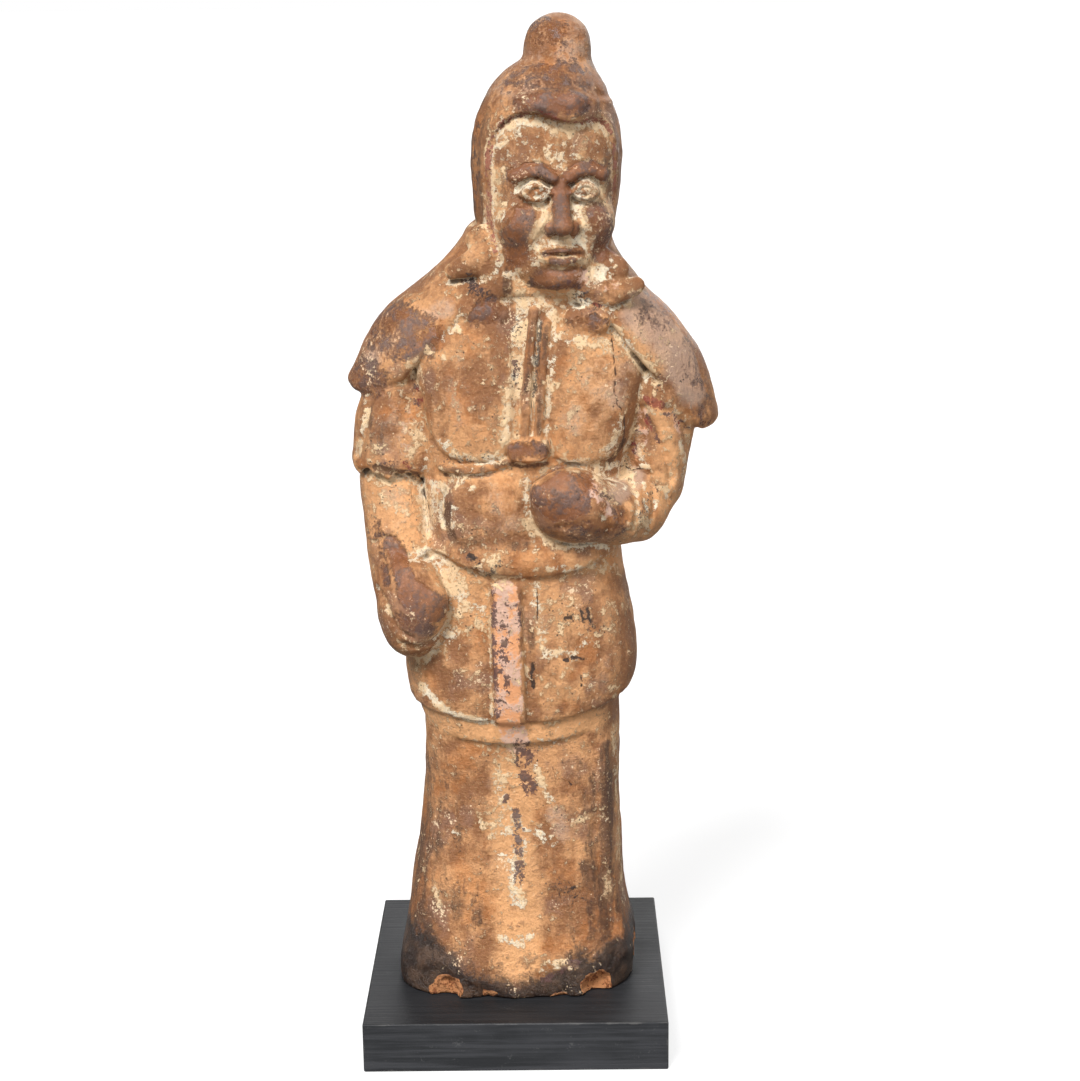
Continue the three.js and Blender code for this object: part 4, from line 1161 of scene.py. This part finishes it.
class Tree:
    """A material's nodes, with one short method for each kind that is used."""

    def __init__(self, name):
        self.material = bpy.data.materials.new(name)
        self.material.use_nodes = True
        self.shader = self.material.node_tree.nodes["Principled BSDF"]
        self.place = self.node("TexCoord").outputs["Object"]

    def node(self, kind, **settings):
        node = self.material.node_tree.nodes.new("ShaderNode" + kind)
        for name, value in settings.items():
            setattr(node, name, value)
        return node

    def feed(self, socket, value):
        if isinstance(value, bpy.types.NodeSocket):
            self.material.node_tree.links.new(value, socket)
        else:
            socket.default_value = value

    def math(self, operation, *values):
        node = self.node("Math", operation=operation)
        for socket, value in zip(node.inputs, values):
            self.feed(socket, value)
        return node.outputs[0]

    def attribute(self, name):
        return self.node("Attribute", attribute_name=name).outputs["Fac"]

    def noise(self, size, detail=4, roughness=0.55, stretch=(1, 1, 1), shift=0.0):
        """Noise whose lumps are about size millimetres, 0.5 in the middle."""
        moved = self.node("Mapping")
        self.feed(moved.inputs["Vector"], self.place)
        moved.inputs["Location"].default_value = (shift, shift * 0.7, -shift)
        moved.inputs["Scale"].default_value = stretch
        noise = self.node("TexNoise")
        self.feed(noise.inputs["Vector"], moved.outputs[0])
        noise.inputs["Scale"].default_value = 1000 / size
        noise.inputs["Detail"].default_value = detail
        noise.inputs["Roughness"].default_value = roughness
        return noise.outputs[0]

    def dots(self, spacing):
        """Distance to the nearest of scattered dots, in parts of their spacing in millimetres."""
        cells = self.node("TexVoronoi")
        self.feed(cells.inputs["Vector"], self.place)
        cells.inputs["Scale"].default_value = 1000 / spacing
        return cells.outputs["Distance"]

    def plus(self, value, *parts):
        """A value with others (other, weight) added to it."""
        for part, weight in parts:
            value = self.math("MULTIPLY_ADD", part, weight, value)
        return value

    def roughened(self, value, *noises):
        """A value with noises (noise, weight) added to it, each counted from its middle."""
        middle = sum(weight for _, weight in noises) / 2
        return self.math("SUBTRACT", self.plus(value, *noises), middle)

    def step(self, value, low, high):
        node = self.node("MapRange", interpolation_type="SMOOTHSTEP")
        for name, setting in (("Value", value), ("From Min", low), ("From Max", high)):
            self.feed(node.inputs[name], setting)
        return node.outputs[0]

    def patch(self, value, low, high, *noises):
        """Where a value, or a mark given by its name, rises from low to high, with a rough edge."""
        if isinstance(value, str):
            value = self.attribute(value)
        return self.step(self.roughened(value, *noises), low, high)

    def times(self, a, b):
        return self.math("MULTIPLY", a, b)

    def mix(self, a, b, amount):
        node = self.node("Mix", data_type="RGBA")
        for socket, value in ((node.inputs[0], amount), (node.inputs[6], a), (node.inputs[7], b)):
            self.feed(socket, value)
        return node.outputs[2]

    def coat(self, colour, over, amount, strength):
        """A colour with another laid over it where amount is 1, never more densely than strength."""
        return self.mix(colour, over, self.times(amount, strength))

    def finish(self, colour, roughness, height):
        """Feeds the shader; height is in millimetres."""
        self.feed(self.shader.inputs["Base Color"], colour)
        self.feed(self.shader.inputs["Roughness"], roughness)
        bump = self.node("Bump")
        self.feed(bump.inputs["Height"], height)
        bump.inputs["Distance"].default_value = MM
        self.feed(self.shader.inputs["Normal"], bump.outputs[0])
        return self.material


class ClayTree(Tree):
    """The clay's nodes, with the noises that its layers share."""

    def __init__(self):
        super().__init__("worn_painted_clay")
        self.broad = self.noise(46, 4)
        self.tint = self.noise(24, 4, 0.6, shift=2.3)
        self.cloud = self.noise(13, 6, 0.64, shift=0.31)
        self.flake = self.noise(4.2, 9, 0.72, shift=0.77)
        self.grain = self.noise(1.3, 5, 0.7, shift=1.3)
        self.streak = self.noise(6, 6, 0.62, stretch=(1, 1, 0.16), shift=0.5)


# Each layer of the clay takes the colour under it, and gives back the new colour, in some cases with
# the places that it covers, for the gloss and the relief.


def bare_clay(t):
    """Tans and browns in clouds, iron red and mauve in places, dark runs down the robe, painted shadows
    in creases.
    """
    lighter = t.patch(t.broad, 0.38, 0.64, (t.cloud, 1.0), (t.streak, 0.5))
    colour = t.mix(paint(148, 98, 61), paint(217, 157, 106), lighter)
    colour = t.coat(colour, paint(206, 128, 66), t.step(t.tint, 0.53, 0.66), 0.4)
    colour = t.coat(colour, paint(146, 108, 88), t.step(t.tint, 0.47, 0.36), 0.6)
    rubbed = t.patch("peach", 0.3, 0.8, (t.cloud, 1.3), (t.flake, 0.8))
    colour = t.coat(colour, paint(245, 181, 124), rubbed, 0.8)
    mottled = t.patch(t.cloud, 0.5, 0.68, (t.flake, 1.0), (t.grain, 0.25))
    colour = t.coat(colour, paint(116, 76, 50), mottled, 0.55)
    # Stains and runs, and the painted shadows under rims and in creases, from the strokes on the front
    stain_and_shadow_cover = t.patch("stain_and_shadow", 0.36, 0.74, (t.streak, 1.4), (t.cloud, 0.9), (t.flake, 0.8))
    colour = t.coat(colour, paint(82, 54, 38), stain_and_shadow_cover, 0.84)
    ashen = t.patch("ash", 0.25, 0.75, (t.cloud, 1.3), (t.flake, 1.0))
    colour = t.coat(colour, paint(206, 174, 152), ashen, 0.6)
    colour = t.coat(colour, paint(86, 54, 34), t.step(t.grain, 0.53, 0.68), 0.26)
    return t.coat(colour, paint(255, 208, 150), t.step(t.grain, 0.46, 0.33), 0.24)


def handled_clay(t, colour):
    """High places, handled until they turned dark and glossy, with painted sheen and highlights."""
    handled = t.patch("worn", 0.26, 0.72, (t.tint, 0.8), (t.cloud, 1.1), (t.flake, 1.6), (t.grain, 0.9))
    # The grey-mauve is partly the burnish's own colour and partly a painted sheen
    dark = t.mix(paint(128, 80, 52), paint(94, 72, 66), t.patch(t.cloud, 0.44, 0.6, (t.flake, 0.9)))
    # Orange flecks: painted highlights on the dark
    highlight_flecks = t.patch(t.grain, 0.47, 0.33, (t.flake, 1.0))
    dark = t.coat(dark, paint(176, 116, 76), highlight_flecks, 0.45)
    return t.coat(colour, dark, handled, 0.86), handled


def sooty_clay(t, colour):
    """Soot round the foot."""
    soot = t.patch("soot", 0.16, 0.74, (t.flake, 1.1), (t.cloud, 1.3), (t.grain, 0.4))
    thin = t.patch(t.cloud, 0.47, 0.66, (t.flake, 0.8), (t.grain, 0.5))
    return t.coat(colour, t.mix(paint(28, 24, 24), paint(78, 60, 48), thin), soot, 0.94), soot


def pink_pigment(t, colour):
    pink = t.patch("pink", 0.42, 0.56, (t.flake, 1.4), (t.cloud, 0.9))
    faded = t.patch(t.cloud, 0.45, 0.54, (t.flake, 0.6))
    return t.coat(colour, t.mix(paint(244, 170, 118), paint(228, 186, 164), faded), pink, 0.88)


def cream_slip(t, colour, handled):
    """A thin veil, flakes with sharp lacy edges, and loose flecks."""
    halo = t.times(t.times(handled, t.math("SUBTRACT", 1, handled)), t.attribute("worn"))
    slip = t.plus(t.attribute("slip"), (halo, 0.9))
    veil = t.patch(slip, 0.24, 0.7, (t.cloud, 1.3), (t.flake, 1.4), (t.grain, 0.4))
    colour = t.coat(colour, paint(238, 186, 134), veil, 0.55)
    flakes = t.patch(slip, 0.49, 0.55, (t.flake, 3.1), (t.cloud, 1.0), (t.grain, 1.2))
    aged = t.patch(t.cloud, 0.42, 0.6, (t.flake, 0.8))
    cream = t.mix(paint(255, 240, 212), paint(244, 208, 162), aged)
    cream = t.coat(cream, paint(150, 112, 86), t.step(t.grain, 0.56, 0.66), 0.75)
    colour = t.coat(colour, cream, flakes, 0.95)
    fleck = t.patch(t.grain, 0.24, 0.2, (t.flake, 1.1), (t.tint, 1.0))
    return t.coat(colour, paint(252, 222, 182), fleck, 0.85), flakes


def purple_and_red(t, colour):
    purple = t.patch("purple", 0.5, 0.58, (t.flake, 2.4), (t.grain, 1.2))
    colour = t.coat(colour, paint(98, 68, 64), purple, 0.88)
    red = t.patch("red", 0.5, 0.62, (t.flake, 2.0), (t.grain, 1.2))
    return t.coat(colour, paint(148, 62, 50), red, 0.8)


def fresh_clay(t, colour):
    """The broken clay where the foot is chipped."""
    fresh = t.patch("fresh", 0.5, 0.6, (t.flake, 1.1), (t.grain, 0.5))
    raw = t.mix(paint(240, 164, 108), paint(160, 92, 52), t.patch(t.flake, 0.48, 0.62, (t.grain, 1.0)))
    return t.mix(colour, raw, fresh), fresh


def dirt_and_crease_shadow(t, colour):
    """Dirt and painted shadow in the deepest creases, dark specks, black marks and fine cracks."""
    # The deepest creases darkened by grime and by painted shadow
    crease = t.patch("hollow", 0.5, 0.86, (t.flake, 0.8))
    colour = t.coat(colour, paint(82, 54, 38), crease, 0.66)
    pepper = t.patch("pepper", 0.56, 0.66, (t.grain, 3.0), (t.flake, 1.0))
    colour = t.coat(colour, paint(70, 56, 50), pepper, 0.85)
    speck = t.times(t.step(t.dots(3.1), 0.17, 0.12), t.step(t.cloud, 0.48, 0.6))
    colour = t.coat(colour, paint(62, 46, 38), speck, 0.8)
    ink = t.patch("ink_gap", 0.2, -0.1, (t.flake, 4.6), (t.grain, 2.4))
    colour = t.coat(colour, paint(50, 39, 33), ink, 0.92)
    crack = t.patch("crack_gap", 0.5, 0.2, (t.flake, 1.6), (t.grain, 0.6))
    return t.coat(colour, paint(72, 46, 32), crack, 0.9), speck, crack


def clay_material():
    t = ClayTree()
    colour, handled = handled_clay(t, bare_clay(t))
    colour, soot = sooty_clay(t, colour)
    colour, flakes = cream_slip(t, pink_pigment(t, colour), handled)
    colour, fresh = fresh_clay(t, purple_and_red(t, colour))
    colour, speck, crack = dirt_and_crease_shadow(t, colour)
    roughness = t.plus(0.34, (t.cloud, 0.3), (flakes, 0.3), (handled, -0.24), (soot, -0.18), (fresh, 0.3))
    height = t.plus(t.times(t.flake, 1.9), (flakes, 0.3), (t.grain, 0.5), (t.cloud, 1.8))
    height = t.times(height, t.plus(1, (handled, -0.4)))
    broken = t.times(fresh, t.roughened(t.flake, (t.grain, 0.4)))
    height = t.plus(height, (broken, 4.0), (crack, -0.8), (speck, -0.2))
    t.shader.inputs["Specular IOR Level"].default_value = 0.5
    return t.finish(colour, roughness, height)


mark_surface(guardian)
guardian.data.materials.append(clay_material())

# Plinth: a block of wood painted black, its edges a little rounded and rubbed

PLINTH_LOW, PLINTH_HIGH = (Vector(corner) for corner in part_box("plinth"))
EDGE_ROUNDING = 0.9 * MM
PLINTH_SKIN = 0.05 * MM  # the block stays this far inside the solid
BLACK_PAINT = (0.022, 0.023, 0.025, 1)
GREY_PAINT = (0.042, 0.043, 0.047, 1)
RUBBED_EDGE = (0.12, 0.115, 0.11, 1)
DUST = (0.11, 0.11, 0.11, 1)
# Painted shadow: the top face is painted darker than the sides
PAINTED_TOP_SHADOW = (0.009, 0.009, 0.010, 1)


def nearest_edge(t, low, high):
    """Distance in metres from a place on a block's face to the nearest of its edges."""
    middle, half = (low + high) / 2, (high - low) / 2
    split = t.node("SeparateXYZ")
    t.feed(split.inputs[0], t.place)
    gaps = []
    for socket, m, h in zip(split.outputs, middle, half):
        off = t.math("ABSOLUTE", t.math("SUBTRACT", socket, m))
        gaps.append(t.math("SUBTRACT", h, off))
    a, b, c = gaps
    least, most = t.math("MINIMUM", a, b), t.math("MAXIMUM", a, b)
    return t.math("MAXIMUM", least, t.math("MINIMUM", most, c))


def plinth_material():
    t = Tree("black_painted_wood")
    cloud = t.noise(30, 4)
    fibre = t.noise(2.2, 6, 0.6, stretch=(0.035, 1, 1), shift=0.4)
    scuff = t.noise(7, 7, 0.66, stretch=(0.5, 1, 1), shift=0.9)
    grain = t.noise(0.8, 4, 0.6, shift=1.7)
    colour = t.mix(BLACK_PAINT, GREY_PAINT, t.step(fibre, 0.4, 0.62))
    colour = t.coat(colour, GREY_PAINT, t.step(cloud, 0.42, 0.7), 0.5)
    inset = t.times(nearest_edge(t, PLINTH_LOW, PLINTH_HIGH), 1 / MM)
    colour = t.coat(colour, RUBBED_EDGE, t.patch(inset, 0.9, -0.4, (scuff, 5.0), (grain, 1.0)), 0.6)
    colour = t.coat(colour, DUST, t.patch(scuff, 0.62, 0.74, (grain, 0.6)), 0.4)
    # Painted shadow: faces that look up are painted darker
    top_shadow_facing = t.node("SeparateXYZ")
    t.feed(top_shadow_facing.inputs[0], t.node("TexCoord").outputs["Normal"])
    colour = t.coat(colour, PAINTED_TOP_SHADOW, t.step(top_shadow_facing.outputs["Z"], 0.6, 0.95), 0.6)
    roughness = t.plus(0.28, (cloud, 0.2), (fibre, 0.25))
    height = t.plus(t.times(grain, 0.05), (fibre, 0.28))
    t.shader.inputs["Specular IOR Level"].default_value = 0.2
    return t.finish(colour, roughness, height)


def make_plinth():
    bpy.ops.mesh.primitive_cube_add(size=1)
    block = bpy.context.object
    block.name = "plinth_block"
    size = PLINTH_HIGH - PLINTH_LOW - Vector((2, 2, 2)) * PLINTH_SKIN
    middle = (PLINTH_LOW + PLINTH_HIGH) / 2
    block.data.transform(Matrix.Translation(middle) @ Matrix.Diagonal((*size, 1)))
    rounding = block.modifiers.new("rounded_edges", "BEVEL")
    rounding.width = EDGE_ROUNDING
    rounding.segments = 3
    rounding.harden_normals = True
    block.data.shade_smooth()
    block.data.materials.append(plinth_material())
    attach(block, "root")
    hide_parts("plinth")


make_plinth()

# Camera, as far and as high as the photograph was taken, and with its long lens

CAMERA_PLACE = Vector((23.0, -1033.4, 514.6)) * MM
CAMERA_PITCH = math.radians(14.19)
CAMERA_YAW = math.radians(0.46)
CAMERA_ROLL = math.radians(-0.74)
CAMERA_LENS = 70.5
SENSOR = 36

# Studio: the strength of the room's own light, and a floor that is far wider than the picture
ROOM_LIGHT = 0.4
ROOM_DEPTH = 0.45  # how much darker the room is behind the figure than in front of it
BACKDROP = 1.0  # the far background's own brightness
FLOOR_GLOW = 0.78  # the floor is a lit table, which keeps it pale in the shadow
FLOOR_SIZE = 4000


def make_camera():
    data = bpy.data.cameras.new("portrait_camera")
    data.sensor_fit = "VERTICAL"
    data.sensor_height = SENSOR
    data.lens = CAMERA_LENS
    data.clip_start = 0.05
    camera = bpy.data.objects.new("portrait_camera", data)
    bpy.context.collection.objects.link(camera)
    turn = Matrix.Rotation(CAMERA_YAW, 4, "Z")
    tip = Matrix.Rotation(math.pi / 2 - CAMERA_PITCH, 4, "X")
    lean = Matrix.Rotation(CAMERA_ROLL, 4, "Z")
    camera.matrix_world = Matrix.Translation(CAMERA_PLACE) @ turn @ tip @ lean
    bpy.context.scene.camera = camera


def wide_light(name, place, width, strength):
    """A far light that is as wide as an angle in degrees, shining from a place towards the middle."""
    data = bpy.data.lights.new(name, "SUN")
    data.angle = math.radians(width)
    data.energy = strength
    light = bpy.data.objects.new(name, data)
    bpy.context.collection.objects.link(light)
    light.rotation_euler = (-Vector(place)).to_track_quat("-Z", "Y").to_euler()


def make_room():
    """White to the camera, and a soft light that fades from the viewer's side to the back."""
    world = bpy.data.worlds.new("pale_room")
    bpy.context.scene.world = world
    world.use_nodes = True
    nodes, links = world.node_tree.nodes, world.node_tree.links
    seen = nodes.new("ShaderNodeLightPath").outputs["Is Camera Ray"]
    way = nodes.new("ShaderNodeSeparateXYZ")
    links.new(nodes.new("ShaderNodeTexCoord").outputs["Generated"], way.inputs[0])
    room = nodes.new("ShaderNodeMapRange")
    links.new(way.outputs["Y"], room.inputs["Value"])
    room.inputs["From Min"].default_value = -1
    room.inputs["To Min"].default_value = ROOM_LIGHT
    room.inputs["To Max"].default_value = ROOM_LIGHT * (1 - ROOM_DEPTH)
    strength = nodes.new("ShaderNodeMix")
    links.new(seen, strength.inputs[0])
    links.new(room.outputs[0], strength.inputs[2])
    strength.inputs[3].default_value = BACKDROP
    links.new(strength.outputs[0], nodes["Background"].inputs["Strength"])
    nodes["Background"].inputs["Color"].default_value = (1, 1, 1, 1)


def make_floor():
    """A pale floor that takes the shadow, but throws no light back up at the figure."""
    bpy.ops.mesh.primitive_plane_add(size=FLOOR_SIZE)
    floor = bpy.context.object
    floor.name = "studio_floor"
    pale = bpy.data.materials.new("pale_floor")
    pale.use_nodes = True
    shader = pale.node_tree.nodes["Principled BSDF"]
    shader.inputs["Base Color"].default_value = (0.3, 0.3, 0.3, 1)
    shader.inputs["Roughness"].default_value = 1
    shader.inputs["Specular IOR Level"].default_value = 0
    shader.inputs["Emission Color"].default_value = (1, 1, 1, 1)
    shader.inputs["Emission Strength"].default_value = FLOOR_GLOW
    floor.data.materials.append(pale)
    floor.visible_diffuse = False
    floor.visible_glossy = False


def make_studio():
    bpy.context.scene.view_settings.view_transform = "Standard"
    wide_light("key", (-0.5, -0.95, 1.2), 22, 4.4)
    wide_light("fill", (1.2, -1.0, 0.4), 60, 1.0)
    wide_light("back", (0.25, 1.0, 0.4), 50, 1.1)
    make_room()
    make_floor()


make_camera()
make_studio()
